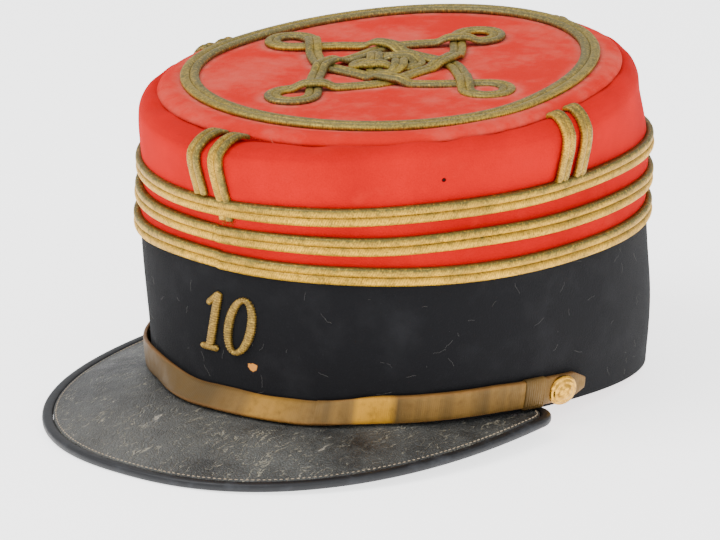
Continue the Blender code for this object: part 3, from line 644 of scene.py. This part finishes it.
for side, middle in (("front", 0.0), ("left", 16.9), ("back", 0.0), ("right", 16.9)):
    for number, way in ((1, -1), (2, 1)):
        # of the front pair, the first ends a little higher and the second further down, over the top ring
        low = {("front", 1): 3.22, ("front", 2): 2.76}.get((side, number), UPRIGHT_LOW)
        t = np.linspace(low, UPRIGHT_TOP, 60)
        path, face = wall(t, side_angle(t, side, middle + way * UPRIGHT_SPACING / 2))
        sunk = np.clip((UPRIGHT_TOP - t) / 0.5, 0, 1)
        under = 1 - np.exp(-((t - 3.05) / 0.16) ** 2) if t[0] < 3 else 1
        path = path + face * (0.55 * sunk * under)[:, None]
        if side != "front":                # these ends are tucked under the top ring
            path = path - face * (1.6 * np.clip((3.34 - t) / 0.14, 0, 1))[:, None]
        braid(f"upright_{side}_{number}_gold", path, face, two_cords(5.8, 1.7), False, upright_gold,
              "gold_braid", f"upright_braid_{side}_{number}")

# Numerals: gold thread in satin stitch over a padded outline, laid straight across each stroke and
# sewn to the front of the band. They lean a little and have rubbed brown.
NUMERAL_HEIGHT, NUMERAL_MIDDLE, NUMERAL_SLANT, NUMERAL_RELIEF = 21.4, 42.2, 0.2, 1.5
NUMERAL_SHIFT = 3.6                   # they sit a little to the wearer's left of the middle
STITCH_PITCH, STITCH_DEPTH = 0.9, 0.16    # real threads are 0.3 mm; they are drawn three times as coarse
# To the eye: a dull brown gold, striped across each stroke, with painted shade between the stitches
numeral_gold = gold("satin stitched gold thread", "#B48C3C", "#907434", "#6A5A32", 0.3)


def front_of_band(x, z):
    """Points on the front of the band at x and z, and the direction out of the cloth there."""
    levels = np.linspace(0, 2.2, 300)
    t = np.interp(z, row_at(levels)[:, 0], levels)
    return wall(t, side_angle(t, "front", x))


def stitched(name, points, widths, closed=False):
    """A padded stroke on the front of the band, from flat points and its width at each."""
    points = np.asarray(points, float)
    plane, widths = even_path(np.column_stack((points, 0 * points[:, 0])), 0.22, closed, widths)
    x = plane[:, 0] + NUMERAL_SLANT * plane[:, 1] + NUMERAL_SHIFT
    path, face = front_of_band(x, plane[:, 1] + NUMERAL_MIDDLE)
    side = np.cross(face, direction(path, closed))
    u = np.linspace(-1, 1, 13)
    dome = NUMERAL_RELIEF * np.clip(1 - u ** 2, 0, 1) ** 0.4
    grid = path[:, None] + side[:, None] * (widths[:, None] * u[None, :, None] / 2)
    grid = grid + face[:, None] * (dome * np.clip(widths / 2.4, 0.3, 1))[..., None] + face[:, None] * 0.15
    along = run_length(path, closed)[0]
    marks = {"rib": (along / STITCH_PITCH)[:, None], "across": (u * 0.5 + 0.5)[None]}
    made = skin(name, grid, across=True, down=closed, marks=marks)
    if not closed:
        close_ends(made, len(u))
    return grown(made, wraps, Depth=STITCH_DEPTH * MM, Slant=0.0, Finish=numeral_gold)


def joined(name, items):
    """One object from several meshes."""
    work = bmesh.new()
    for item in items:
        work.from_mesh(item.data)
    mesh = bpy.data.meshes.new(name)
    work.to_mesh(mesh)
    work.free()
    for item in items:
        bpy.data.objects.remove(item)
    mesh.shade_smooth()
    return new_object(name, mesh)


def tapered(start, end, width, tip, count=40):
    """Straight stroke, rounded off at its ends."""
    f = np.linspace(0, 1, count)
    points = np.asarray(start) + f[:, None] * (np.asarray(end) - start)
    length = np.linalg.norm(np.subtract(end, start))
    ends = np.clip(np.minimum(f, 1 - f) * length / tip, 0.02, 1)
    return points, width * np.sqrt(1 - (1 - ends) ** 2)


half = NUMERAL_HEIGHT / 2
one = [stitched("stem", *tapered((-7.1, -half + 0.6), (-7.1, half), 3.6, 0.6)),
       stitched("flag", *tapered((-7.4, half - 1.0), (-11.3, half - 5.0), 2.4, 1.2)),
       stitched("foot", *tapered((-11.2, -half + 0.9), (-3.0, -half + 0.9), 2.2, 0.8))]
dress(joined("numeral_one_gold", one), numeral_gold, "gold_thread", "numeral_one")
a = even_angles(160)
zero = stitched("numeral_zero_gold", np.stack((4.6 + 4.8 * np.cos(a), (half - 1.0) * np.sin(a)), -1),
                2.0 + 1.6 * np.abs(np.cos(a)) ** 1.5, closed=True)
dress(zero, numeral_gold, "gold_thread", "numeral_zero")

# Peak: a stiff tongue of black grained calf, cut in a crescent, tucked under the band and sewn there. Its
# finish has greyed, cracked across the grain where it bends and scuffed down to paler leather.
RIM = WALL[0]
PEAK_FRONT, PEAK_HALF_WIDTH, PEAK_SQUARENESS = -123.2, 89.4, 2.32
PEAK_SPAN, PEAK_SEWN, PEAK_CORNER_LIFT, PEAK_CORNER_BACK = radians(83), radians(81.6), 5.4, 12.7
PEAK_THICKNESS, PEAK_DOME, BINDING_DEPTH, BINDING_HEIGHT = 2.4, 1.6, 4.0, 3.2
LEATHER_BLACK, LEATHER_GREY, SCUFF = "#1E1F1F", "#50514E", "#A69F90"
PAINTED_LIGHT_FRONT = (-20.0, -108.0, 5.0)     # the middle of a painted pool of light at the front, where the peak faces the lamp


def peak_outline(share):
    """Lower outer edge of the peak; share runs from -1 at one back corner to 1 at the other."""
    end = oval(RIM, np.array(PEAK_SPAN), 0.3)
    share = np.asarray(share, float)
    middle = oval(RIM, np.array(PEAK_SPAN))[1] - PEAK_CORNER_BACK
    angle = np.clip(np.abs(share) / 0.9, 0, 1) * pi / 2
    forward = np.abs(np.cos(angle)) ** (2 / PEAK_SQUARENESS)
    x = PEAK_HALF_WIDTH * np.sin(angle) ** (2 / PEAK_SQUARENESS)
    y = middle - (middle - PEAK_FRONT) * forward
    corner = np.clip((np.abs(share) - 0.9) / 0.1, 0, 1) * pi / 2
    x = np.where(corner > 0, end[0] + (PEAK_HALF_WIDTH - end[0]) * np.cos(corner), x)
    y = np.where(corner > 0, middle + PEAK_CORNER_BACK * np.sin(corner), y)
    z = PEAK_CORNER_LIFT * (1 - np.where(corner > 0, 0, forward))
    return np.stack((np.sign(share) * x, y, z), -1)


def outline_out(share):
    """The way out of the peak's outline, level."""
    along = peak_outline(np.minimum(share + 0.004, 1)) - peak_outline(np.maximum(share - 0.004, -1))
    return unit(np.stack((along[:, 1], -along[:, 0], 0 * along[:, 0]), -1))


def peak_top(share, s):
    """Top of the peak, from the band at s 0 to the binding at s 1."""
    lip = oval(RIM, share * PEAK_SEWN, 1.0, -0.3)
    edge = peak_outline(share) - outline_out(share) * (BINDING_DEPTH + 0.1) + np.array((0, 0, 2.9))
    span = np.linalg.norm(edge - lip, axis=1)
    points = lip[None] + s[:, None, None] * (edge - lip)[None]
    points[..., 2] += PEAK_DOME * np.sin(pi * s)[:, None] * np.clip(span / 52, 0, 1)
    return points


share = np.linspace(-1, 1, 301)
s = np.linspace(0, 1, 60)
top = peak_top(share, s)
top[..., 2] += 0.22 * soft_waves(top[..., 0], top[..., 1], 0, 9, 21) * np.sin(pi * s)[:, None]
tuck = oval(RIM, share * PEAK_SEWN, -CLOTH_THICKNESS, -0.3)
top = np.concatenate((tuck[None], top))
under = top[::-1] - np.array((0, 0, PEAK_THICKNESS))
calf = skin("peak_calf", np.concatenate((top, under)), down=True)

# To the eye: black gone grey in patches, lighter at the front with painted light, with a low shine, a fine
# pebbled grain with dark valleys, pale fine cracks, and pale scratches and flecks where the finish is
# scuffed off.
black_calf, tree = finish_named("black grained calf")
place = add(tree, "ShaderNodeTexCoord").outputs["Object"]
warp = add(tree, "ShaderNodeTexNoise", {"Vector": place, "Scale": 150.0, "Detail": 3.0}).outputs["Color"]
moved = add(tree, "ShaderNodeVectorMath", {0: warp, 1: (0.006, 0.006, 0.006), 2: place},
            operation="MULTIPLY_ADD")
pebble = add(tree, "ShaderNodeTexVoronoi", {"Vector": moved, "Scale": 900.0}, feature="DISTANCE_TO_EDGE")
slow, mid, dry = (
    add(tree, "ShaderNodeTexNoise", {"Vector": place, "Scale": scale, "Detail": detail, "Roughness": rough})
    for scale, detail, rough in ((28, 4, 0.6), (180, 5, 0.6), (60, 3, 0.6)))
lines = []                            # noise that is drawn out along or across the peak
for drawn, scale, detail, rough in (((1.5, 0.32, 1.0), 230, 2, 0.5), ((1.6, 0.3, 1.0), 210, 3, 0.5),
                                    ((0.35, 1.5, 1.0), 120, 3, 0.6)):
    stretched = add(tree, "ShaderNodeMapping", {"Vector": moved, "Scale": drawn})
    lines.append(add(tree, "ShaderNodeTexNoise",
                     {"Vector": stretched, "Scale": scale, "Detail": detail, "Roughness": rough}))
crease, scratches, flecks = lines
crease = add(tree, "ShaderNodeMath", {0: crease, 1: 0.5}, operation="SUBTRACT")
crease = add(tree, "ShaderNodeMath", {0: crease}, operation="ABSOLUTE")
cracked = add(tree, "ShaderNodeMapRange", {0: crease, 1: 0.018, 2: 0.002})
dry = add(tree, "ShaderNodeMapRange", {0: dry, 1: 0.42, 2: 0.6, 3: 0.15, 4: 0.85})
cracked = add(tree, "ShaderNodeMath", {0: cracked, 1: dry}, operation="MULTIPLY")
# the grey patch at the front is painted light
base = layered(tree, colour(LEATHER_BLACK), (slow, 0.4, 0.66, 1, LEATHER_GREY),
               (mid, 0.52, 0.75, 0.5, "#50514D"),
               (near(tree, place, PAINTED_LIGHT_FRONT, 8.0, 62.0), 0, 1, 0.45, "#6A6963"),
               (cracked, 0, 1, 1, "#97917F"), (scratches, 0.69, 0.75, 0.75, SCUFF),
               (flecks, 0.74, 0.78, 0.7, "#A39C8E"), (pebble, 0.12, 0.0, 0.5, "#0C0C0D"))
grains = add(tree, "ShaderNodeMapRange", {0: pebble, 1: 0.0, 2: 0.3, 4: 0.6})
folds = add(tree, "ShaderNodeMapRange", {0: crease, 1: 0.0, 2: 0.03, 4: 0.8})
swell = add(tree, "ShaderNodeMath", {0: mid, 1: 0.4}, operation="MULTIPLY")
grains = add(tree, "ShaderNodeMath", {0: grains, 1: folds}, operation="ADD")
gloss = add(tree, "ShaderNodeMapRange", {0: mid, 1: 0.3, 2: 0.7, 3: 0.36, 4: 0.56})
height = add(tree, "ShaderNodeMath", {0: grains, 1: swell}, operation="ADD")
bump = add(tree, "ShaderNodeBump", {"Height": height, "Distance": 0.28 * MM})
shader = add(tree, "ShaderNodeBsdfPrincipled", {
    "Base Color": base, "Roughness": gloss, "Specular IOR Level": 0.4, "Normal": bump})
add(tree, "ShaderNodeOutputMaterial", {"Surface": shader})
dress(calf, black_calf, "peak_leather", "peak")

# Binding: a strip of thin black leather, folded over the peak's edge and sewn through it. Hands have rubbed
# it smooth, so that it is a rounded bead with less grain than the peak.
a = even_angles(16)
fold = np.stack((BINDING_DEPTH / 2 * np.sign(np.cos(a)) * np.abs(np.cos(a)) ** 0.7,
                 BINDING_HEIGHT / 2 * (1 + np.sign(np.sin(a)) * np.abs(np.sin(a)) ** 0.7)), -1)
share = np.linspace(-1, 1, 900)
path = peak_outline(share) - outline_out(share) * BINDING_DEPTH / 2
path[:, 2] += 0.02
roll = swept("peak_binding_calf", path, np.tile((0.0, 0.0, 1.0), (len(path), 1)), fold, False, 4.0)

# To the eye: a deeper, cooler black than the peak, with a soft shine along its round
binding_calf, tree = finish_named("black calf rubbed smooth")
place = add(tree, "ShaderNodeTexCoord").outputs["Object"]
mid = add(tree, "ShaderNodeTexNoise", {"Vector": place, "Scale": 150, "Detail": 4, "Roughness": 0.6})
base = layered(tree, colour("#131417"), (mid, 0.5, 0.75, 1, "#2E3034"))
fine = add(tree, "ShaderNodeTexNoise", {"Vector": place, "Scale": 700, "Detail": 3, "Roughness": 0.6})
gloss = add(tree, "ShaderNodeMapRange", {0: mid, 1: 0.3, 2: 0.7, 3: 0.42, 4: 0.58})
height = add(tree, "ShaderNodeMath", {0: fine, 1: mid}, operation="ADD")
bump = add(tree, "ShaderNodeBump", {"Height": height, "Distance": 0.07 * MM})
shader = add(tree, "ShaderNodeBsdfPrincipled", {
    "Base Color": base, "Roughness": gloss, "Specular IOR Level": 0.35, "Normal": bump})
add(tree, "ShaderNodeOutputMaterial", {"Surface": shader})
dress(roll, binding_calf, "binding_leather", "peak_binding")

# Stitching: one row of waxed linen thread through the peak, just inside its binding, in short even
# stitches that sink a little into the leather.
STITCH_LENGTH, STITCH_STEP, STITCH_THICKNESS = 1.5, 1.9, 0.55
share = np.linspace(-0.97, 0.97, 900)
line = peak_top(share, np.array((0.0, 1.0)))[1] - outline_out(share) * 0.9 + np.array((0, 0, 0.12))
mesh = bpy.data.meshes.new("peak_stitches")
mesh.from_pydata((line * MM).tolist(), [(i, i + 1) for i in range(len(line) - 1)], [])
stitches = new_object("peak_stitches", mesh)

# To the eye: a line of dull tan dashes, without a shine
linen, tree = finish_named("tan linen thread")
shader = add(tree, "ShaderNodeBsdfPrincipled", {"Base Color": colour("#A9977F"), "Roughness": 0.9})
add(tree, "ShaderNodeOutputMaterial", {"Surface": shader})
row, given = sockets("row of stitches", (("Length", "NodeSocketFloat", 0.002),
                                         ("Step", "NodeSocketFloat", 0.003),
                                         ("Thickness", "NodeSocketFloat", 0.0005),
                                         ("Finish", "NodeSocketMaterial", None)))
curve = add(row, "GeometryNodeMeshToCurve", {"Mesh": given})
spaced = add(row, "GeometryNodeResampleCurve", {"Curve": curve, "Length": given.outputs["Step"]},
             mode="LENGTH")
along = add(row, "GeometryNodeInputTangent")
aim = add(row, "FunctionNodeAlignRotationToVector", {"Vector": along}, axis="Z")
thread = add(row, "GeometryNodeMeshUVSphere", {"Segments": 8, "Rings": 6, "Radius": 0.5})
size = add(row, "ShaderNodeCombineXYZ", {0: given.outputs["Thickness"], 1: given.outputs["Thickness"],
                                         2: given.outputs["Length"]})
placed = add(row, "GeometryNodeInstanceOnPoints",
             {"Points": spaced, "Instance": thread, "Rotation": aim, "Scale": size})
real = add(row, "GeometryNodeRealizeInstances", {"Geometry": placed})
painted = add(row, "GeometryNodeSetMaterial", {"Geometry": real, "Material": given.outputs["Finish"]})
add(row, "NodeGroupOutput", {"Geometry": painted})
grown(stitches, row, Length=STITCH_LENGTH * MM, Step=STITCH_STEP * MM, Thickness=STITCH_THICKNESS * MM,
      Finish=linen)
dress(stitches, linen, "peak_leather")

# Chin strap: gold lace woven over a leather strip. It runs from button to button, flat on the band at the
# sides and slipped down on to the peak at the front. Its gold has browned, except where handling polished
# it and where a painted highlight lies along its fold over the peak.
STRAP_WIDTH, STRAP_OFF, STRAP_LAP = 10.0, 0.9, 0.4   # its two ends overlap at the left front
LAP_ANGLE, BUTTON_ANGLE, TIP_LENGTH = radians(25.7), radians(87), radians(5.6)
WEFT_PITCH = 0.7                     # real weft is about 0.35 mm; it is drawn twice as coarse
STRAP_RADIUS = 80                    # mm along the strap for each radian round the cap, about


def slipped(angle):
    """1 where the strap leans over the peak, a little to the wearer's left of the front; 0 on the band."""
    f = np.clip((radians(36) - np.abs(angle - radians(9))) / radians(24), 0, 1)
    return f * f * (3 - 2 * f)


def level_on_wall(angle, z):
    """t of the wall at each angle where it stands at height z."""
    levels = np.linspace(0, 2, 120)
    heights = oval(row_at(levels)[:, None], np.atleast_1d(angle)[None])[..., 2]
    return np.array([np.interp(a, column, levels) for a, column in zip(np.atleast_1d(z), heights.T)])


def strap_point(angle, height, depth):
    """Point of the strap: height up its width from 0 to 10 mm, depth out from its back."""
    angle = np.atleast_1d(np.asarray(angle, float))
    down = slipped(angle)
    lift = 0.6 + 1.5 * np.clip((np.abs(angle) - radians(45)) / radians(25), 0, 1) - 1.3 * down
    low = oval(RIM, angle, STRAP_OFF + 6.3 * down, lift)
    up = level_on_wall(angle, oval(RIM, angle)[:, 2] + lift + STRAP_WIDTH - 3.4 * down)
    on_wall, face = wall(up, angle)
    high = on_wall + face * (STRAP_OFF - 0.6 * down)[:, None]
    across = unit(high - low)
    out = unit(np.cross(unit(strap_run(angle)), across))
    middle = low + (high - low) * (np.asarray(height) / STRAP_WIDTH)[..., None]
    return middle + out * np.asarray(depth)[..., None]


def strap_run(angle):
    """The way the strap runs, for each 0.02 radian."""
    return oval(RIM, angle + 0.01) - oval(RIM, angle - 0.01)


tip = BUTTON_ANGLE + TIP_LENGTH
angles = np.linspace(-tip, tip, 700)
section = ((0.0, 0.25), (0.25, 0.0), (5.0, -0.0), (9.75, 0.0), (10.0, 0.25), (10.0, 1.1), (9.6, 1.45),
           (8.0, 1.55), (6.5, 1.6), (5.0, 1.6), (3.5, 1.6), (2.0, 1.55), (0.4, 1.45), (0.0, 1.1))
narrow = 0.45 + 0.55 * np.clip((tip - np.abs(angles)) / radians(2.4), 0, 1)
lap = STRAP_LAP * (angles > LAP_ANGLE)
wavy = 0.3 * soft_waves(angles * STRAP_RADIUS, 0, 0, 7, 12)
grid = [strap_point(angles, 5 + (h - 5) * narrow + wavy * (h > 5), d + lap * (d > 1)) for h, d in section]
marks = {"round": (angles * STRAP_RADIUS)[:, None], "width": np.array([h for h, d in section])[None]}
strap = skin("chin_strap_lace", np.stack(grid, 1), across=True, marks=marks)
close_ends(strap, len(section))

# To the eye: dull brown gold with a fine cross weave and brown edges. The stretch over the wearer's left
# front is polished yellow by handling, a shorter stretch nearer the middle is painted lighter as a
# highlight along its fold over the peak, and the right front is browner.
lace, tree = finish_named("browned gold lace")
place = add(tree, "ShaderNodeTexCoord").outputs["Object"]
length = add(tree, "ShaderNodeAttribute", attribute_name="round").outputs["Fac"]
width = add(tree, "ShaderNodeAttribute", attribute_name="width").outputs["Fac"]
mid = add(tree, "ShaderNodeTexNoise", {"Vector": place, "Scale": 300, "Detail": 4, "Roughness": 0.6})
bands = add(tree, "ShaderNodeTexNoise", {"W": length, "Scale": 0.09, "Detail": 3.0}, noise_dimensions="1D")
stretches = []
# the first stretch is polished by handling; the second, at 0.3 of the share, is a painted highlight
for begin, full, fade, gone, most in ((48, 50, 60, 63, 1), (10, 14, 24, 34, 0.3)):
    begins = add(tree, "ShaderNodeMapRange", {0: length, 1: begin, 2: full})
    ceases = add(tree, "ShaderNodeMapRange", {0: length, 1: gone, 2: fade, 4: most})
    stretches.append(add(tree, "ShaderNodeMath", {0: begins, 1: ceases}, operation="MULTIPLY"))
polish_and_fold_highlight = add(tree, "ShaderNodeMath", {0: stretches[0], 1: stretches[1]}, operation="MAXIMUM")
edges = add(tree, "ShaderNodeMath", {0: width, 1: 5.0}, operation="SUBTRACT")
edges = add(tree, "ShaderNodeMath", {0: edges}, operation="ABSOLUTE")
base = layered(tree, colour("#5C451F"), (bands, 0.35, 0.6, 1, "#7C5C28"), (polish_and_fold_highlight, 0, 1, 1, "#B9851C"),
               (length, 14, 0, 0.85, "#4E3B1A"), (mid, 0.5, 0.8, 0.6, "#5E431A"),
               (edges, 4.0, 5.0, 0.5, "#7A4E20"))
weft = add(tree, "ShaderNodeMath", {0: length, 1: 2 * pi / WEFT_PITCH}, operation="MULTIPLY")
weft = add(tree, "ShaderNodeMath", {0: weft}, operation="SINE")
weft = add(tree, "ShaderNodeMath", {0: weft, 1: 0.3}, operation="MULTIPLY")
gloss = add(tree, "ShaderNodeMapRange", {0: mid, 1: 0.3, 2: 0.7, 3: 0.5, 4: 0.68})
height = add(tree, "ShaderNodeMath", {0: weft, 1: mid}, operation="ADD")
bump = add(tree, "ShaderNodeBump", {"Height": height, "Distance": 0.06 * MM})
shader = add(tree, "ShaderNodeBsdfPrincipled", {
    "Base Color": base, "Metallic": 0.3, "Specular IOR Level": 0.3, "Roughness": gloss,
    "Normal": bump})
add(tree, "ShaderNodeOutputMaterial", {"Surface": shader})
dress(strap, lace, "strap_lace", "chin_strap")

# Slides: two keepers of ribbed gold lace, each sewn in a loop round the strap beside its button. They hold
# the strap's layers together and slide along it, and have browned like the strap itself.
SLIDE_MIDDLE, SLIDE_LENGTH, SLIDE_RIBS, SLIDE_RELIEF = 14.0, 10.5, 9, 0.18
per_radian = float(np.linalg.norm(strap_run(np.array(BUTTON_ANGLE)))) / 0.02
u = np.linspace(0, 1, 120)
ribs = SLIDE_RELIEF * np.abs(np.sin(pi * u * SLIDE_RIBS)) ** 0.6
ends = np.clip(np.minimum(u, 1 - u) / 0.03, 0, 1) ** 0.5
loop = ((-0.25, -0.35), (-0.65, 0.2), (-0.7, 1.2), (-0.45, 2.0), (1.5, 2.3), (5.0, 2.4), (8.5, 2.3),
        (10.5, 2.0), (10.75, 1.2), (10.7, 0.2), (10.25, -0.35), (5.0, -0.45))
for name, way in (("left", 1), ("right", -1)):
    angles = way * (BUTTON_ANGLE - (SLIDE_MIDDLE + (0.5 - u) * SLIDE_LENGTH) / per_radian)
    outside = [strap_point(angles, h + 0 * u, d + (ribs * ends if d > 1.5 else 0 * u)) for h, d in loop]
    inside = [strap_point(angles, 5 + (h - 5) * 0.94 + 0 * u, 0.8 + (d - 0.8) * 0.6 + 0 * u)
              for h, d in loop]
    grid = np.concatenate((np.stack(outside, 1), np.stack(inside, 1)[::-1]))
    slide = skin(f"strap_slide_{name}_lace", grid, across=True, down=True,
                 marks={"round": np.concatenate((u, u[::-1]))[:, None] * 10, "width": 5.0})
    dress(slide, lace, "strap_lace", f"strap_slide_{name}")

# Buttons: domes stamped from sheet brass, with a turned ring and a rim, sewn to the band through the ends
# of the strap. Handling has left brown clouds of dirt on them.
dome = np.array((             # radius and height
    (0.0, 4.0), (0.8, 3.97), (1.7, 3.8), (2.3, 3.5), (2.6, 3.1), (2.8, 2.9), (3.1, 2.95), (3.4, 3.0),
    (3.7, 2.8), (3.9, 2.4), (4.15, 2.2), (4.4, 2.2), (4.7, 2.0), (4.95, 1.6), (5.0, 1.1), (4.8, 0.6),
    (4.3, 0.35), (3.0, 0.3), (0.0, 0.3)))
dome *= (1.14, 1.15)                  # the photo shows them a little wider and higher than drawn above
BUTTON_TILT = 0.28                    # they hang turned a little to the front
# To the eye: warm yellow metal with sharp small highlights and brown clouds of dirt
brass, tree = finish_named("stamped brass")
place = add(tree, "ShaderNodeTexCoord").outputs["Object"]
dirt = add(tree, "ShaderNodeTexNoise", {"Vector": place, "Scale": 700, "Detail": 4, "Roughness": 0.6})
base = layered(tree, colour("#DDA63E"), (dirt, 0.42, 0.7, 1, "#8A6226"))
gloss = add(tree, "ShaderNodeMapRange", {0: dirt, 1: 0.3, 2: 0.7, 3: 0.22, 4: 0.42})
bump = add(tree, "ShaderNodeBump", {"Height": dirt, "Distance": 0.006 * MM})
shader = add(tree, "ShaderNodeBsdfPrincipled", {
    "Base Color": base, "Metallic": 1.0, "Roughness": gloss, "Normal": bump})
add(tree, "ShaderNodeOutputMaterial", {"Surface": shader})
spin_angles = even_angles(48)
for name, way in (("left", 1), ("right", -1)):
    here = np.array(way * BUTTON_ANGLE)
    low, high = (strap_point(here, h, 1.6)[0] for h in (0.0, 10.0))
    along = unit(strap_run(here))
    up = unit(high - low)
    out = unit(np.cross(along, up) - way * BUTTON_TILT * along)
    along = np.cross(up, out)
    centre = (low + high) / 2
    spokes = np.cos(spin_angles)[:, None] * along + np.sin(spin_angles)[:, None] * up
    grid = centre + dome[:, None, :1] * spokes[None] + dome[:, None, 1:] * out
    button = skin(f"button_{name}_brass", grid, across=True)
    dress(button, brass, "button_brass", f"button_{name}")

# Lint and frayed threads: pale hairs caught in the band's nap, and gold and red threads pulled loose where
# two of the upright braids end and where the top seam has opened over them.
LINT, LINT_DENSITY, LINT_SEED = "#605E5A", 4600.0, 7
loose, given = sockets("loose threads", (
    ("Density", "NodeSocketFloat", 4000.0), ("Seed", "NodeSocketInt", 1),
    ("Length", "NodeSocketFloat", 0.004), ("Thickness", "NodeSocketFloat", 0.0001),
    ("Tilt", "NodeSocketFloat", 0.1),
    ("Finish", "NodeSocketMaterial", None)))
spread = add(loose, "GeometryNodeDistributePointsOnFaces",
             {"Mesh": given, "Density": given.outputs["Density"], "Seed": given.outputs["Seed"]})
start = add(loose, "GeometryNodeCurvePrimitiveLine", {"Start": (-0.5, 0, 0), "End": (0.5, 0, 0)})
fine = add(loose, "GeometryNodeResampleCurve", {"Curve": start, "Count": 9}, mode="COUNT")
turned = add(loose, "FunctionNodeRandomValue", {"Max": (0, 0, 6.28), "Seed": 4}, data_type="FLOAT_VECTOR")
tilted = add(loose, "ShaderNodeCombineXYZ", {"Y": given.outputs["Tilt"]})
aim = spread.outputs["Rotation"]
for angles in (turned, tilted):
    aim = add(loose, "FunctionNodeRotateRotation", {"Rotation": aim, "Rotate By": angles},
              rotation_space="LOCAL")
size = add(loose, "FunctionNodeRandomValue", {2: 0.3, 3: 1.6, "Seed": 5}, data_type="FLOAT")
size = add(loose, "ShaderNodeMath", {0: size, 1: given.outputs["Length"]}, operation="MULTIPLY")
placed = add(loose, "GeometryNodeInstanceOnPoints",
             {"Points": spread, "Instance": fine, "Rotation": aim, "Scale": size})
real = add(loose, "GeometryNodeRealizeInstances", {"Geometry": placed})
place = add(loose, "GeometryNodeInputPosition")
wander = add(loose, "ShaderNodeTexNoise", {"Vector": place, "Scale": 240.0}).outputs["Color"]
wander = add(loose, "ShaderNodeVectorMath", {0: wander, 1: (0.5, 0.5, 0.5)}, operation="SUBTRACT")
wander = add(loose, "ShaderNodeVectorMath", {0: wander, 1: (0.003, 0.003, 0.003)}, operation="MULTIPLY")
curled = add(loose, "GeometryNodeSetPosition", {"Geometry": real, "Offset": wander})
profile = add(loose, "GeometryNodeCurvePrimitiveCircle",
              {"Resolution": 5, "Radius": given.outputs["Thickness"]})
tube = add(loose, "GeometryNodeCurveToMesh", {"Curve": curled, "Profile Curve": profile, "Fill Caps": True})
painted = add(loose, "GeometryNodeSetMaterial", {"Geometry": tube, "Material": given.outputs["Finish"]})
add(loose, "NodeGroupOutput", {"Geometry": painted})


def hairs(name, patch, finish, slot, **sizes):
    """Loose threads over a patch of points in mm."""
    item = skin(name, patch)
    grown(item, loose, Finish=finish, **sizes)
    dress(item, finish, slot)


# To the eye: short grey hairs, scattered thinly over the dark cloth
pale, tree = finish_named("pale lint")
shader = add(tree, "ShaderNodeBsdfPrincipled", {"Base Color": colour(LINT), "Roughness": 0.95})
add(tree, "ShaderNodeOutputMaterial", {"Surface": shader})
points, out = wall(np.linspace(0.15, 1.85, 12)[:, None], even_angles(97)[None])
hairs("band_lint", points + out * 0.55, pale, "band_wool", Density=LINT_DENSITY, Seed=LINT_SEED,
      Length=0.0034, Thickness=0.00003, Tilt=0.05)
# To the eye: a fringe of lighter red at the open seam
red_thread, tree = finish_named("frayed red wool")
shader = add(tree, "ShaderNodeBsdfPrincipled", {"Base Color": colour("#C8503C"), "Roughness": 0.95})
add(tree, "ShaderNodeOutputMaterial", {"Surface": shader})
points, out = wall(np.array([[6.86], [TOP_SEAM]]), np.radians(np.linspace(-12, 12, 14))[None])
hairs("seam_threads", points + out * 0.5, red_thread, "crown_cloth", Density=1200000.0, Seed=3,
      Length=0.0022, Thickness=0.00007, Tilt=0.9)
for name, t, x in (("upright_1_threads", 3.22, -4.8), ("upright_2_threads", 2.76, 4.8)):
    angle = side_angle(np.array([t]), "front", x) + np.radians(np.linspace(-1.9, 1.9, 6))[None]
    points, out = wall(np.array([[t - 0.07], [t + 0.01]]), angle)
    hairs(name, points + out * 1.3, upright_gold, "gold_braid", Density=2600000.0, Seed=5,
          Length=0.0026, Thickness=0.00004, Tilt=0.7)

# Camera, light and floor: a long lens a step away, as the cap shows almost no perspective in the photo. It
# stands on a white table under two large soft lamps, with no hard shadow.
TARGET, DISTANCE, AZIMUTH, ELEVATION = (-3.1, 6.9, 43.5), 1470.0, 40.27, 16.0
SENSOR, LENS = 36, 203.5
camera = new_object("camera", bpy.data.cameras.new("camera"))
camera.data.sensor_width, camera.data.lens = SENSOR, LENS
turn, tilt = radians(AZIMUTH), radians(ELEVATION)
back = Vector((sin(turn) * cos(tilt), -cos(turn) * cos(tilt), sin(tilt)))
camera.location = (Vector(TARGET) + back * DISTANCE) * MM
camera.rotation_euler = back.to_track_quat("Z", "Y").to_euler()
bpy.context.scene.camera = camera

# To the eye: a plain white ground; its own light lifts it towards the photo's white
table, tree = finish_named("white table")
shader = add(tree, "ShaderNodeBsdfPrincipled", {
    "Base Color": colour("#FAFAFA"), "Emission Color": colour("#FFFFFF"), "Emission Strength": 2.0,
    "Roughness": 0.7})
add(tree, "ShaderNodeOutputMaterial", {"Surface": shader})
mesh = bpy.data.meshes.new("floor")
mesh.from_pydata([(-6, -6, 0), (6, -6, 0), (6, 6, 0), (-6, 6, 0)], [], [(0, 1, 2, 3)])
mesh.materials.append(table)
floor = new_object("floor", mesh)

for name, spot, size, power in (("key lamp", (-0.5, -1.3, 1.9), 1.4, 44),
                                ("fill lamp", (1.6, -0.5, 1.0), 1.6, 13)):
    lamp = new_object(name, bpy.data.lights.new(name, "AREA"))
    lamp.data.size, lamp.data.energy = size, power
    lamp.location = spot
    lamp.rotation_euler = Vector(spot).to_track_quat("Z", "Y").to_euler()
world = bpy.data.worlds.new("studio")
bpy.context.scene.world = world
world.use_nodes = True
sky = world.node_tree.nodes["Background"].inputs
sky["Color"].default_value, sky["Strength"].default_value = colour("#F7F8FA"), 1.2

bpy.context.view_layer.update()
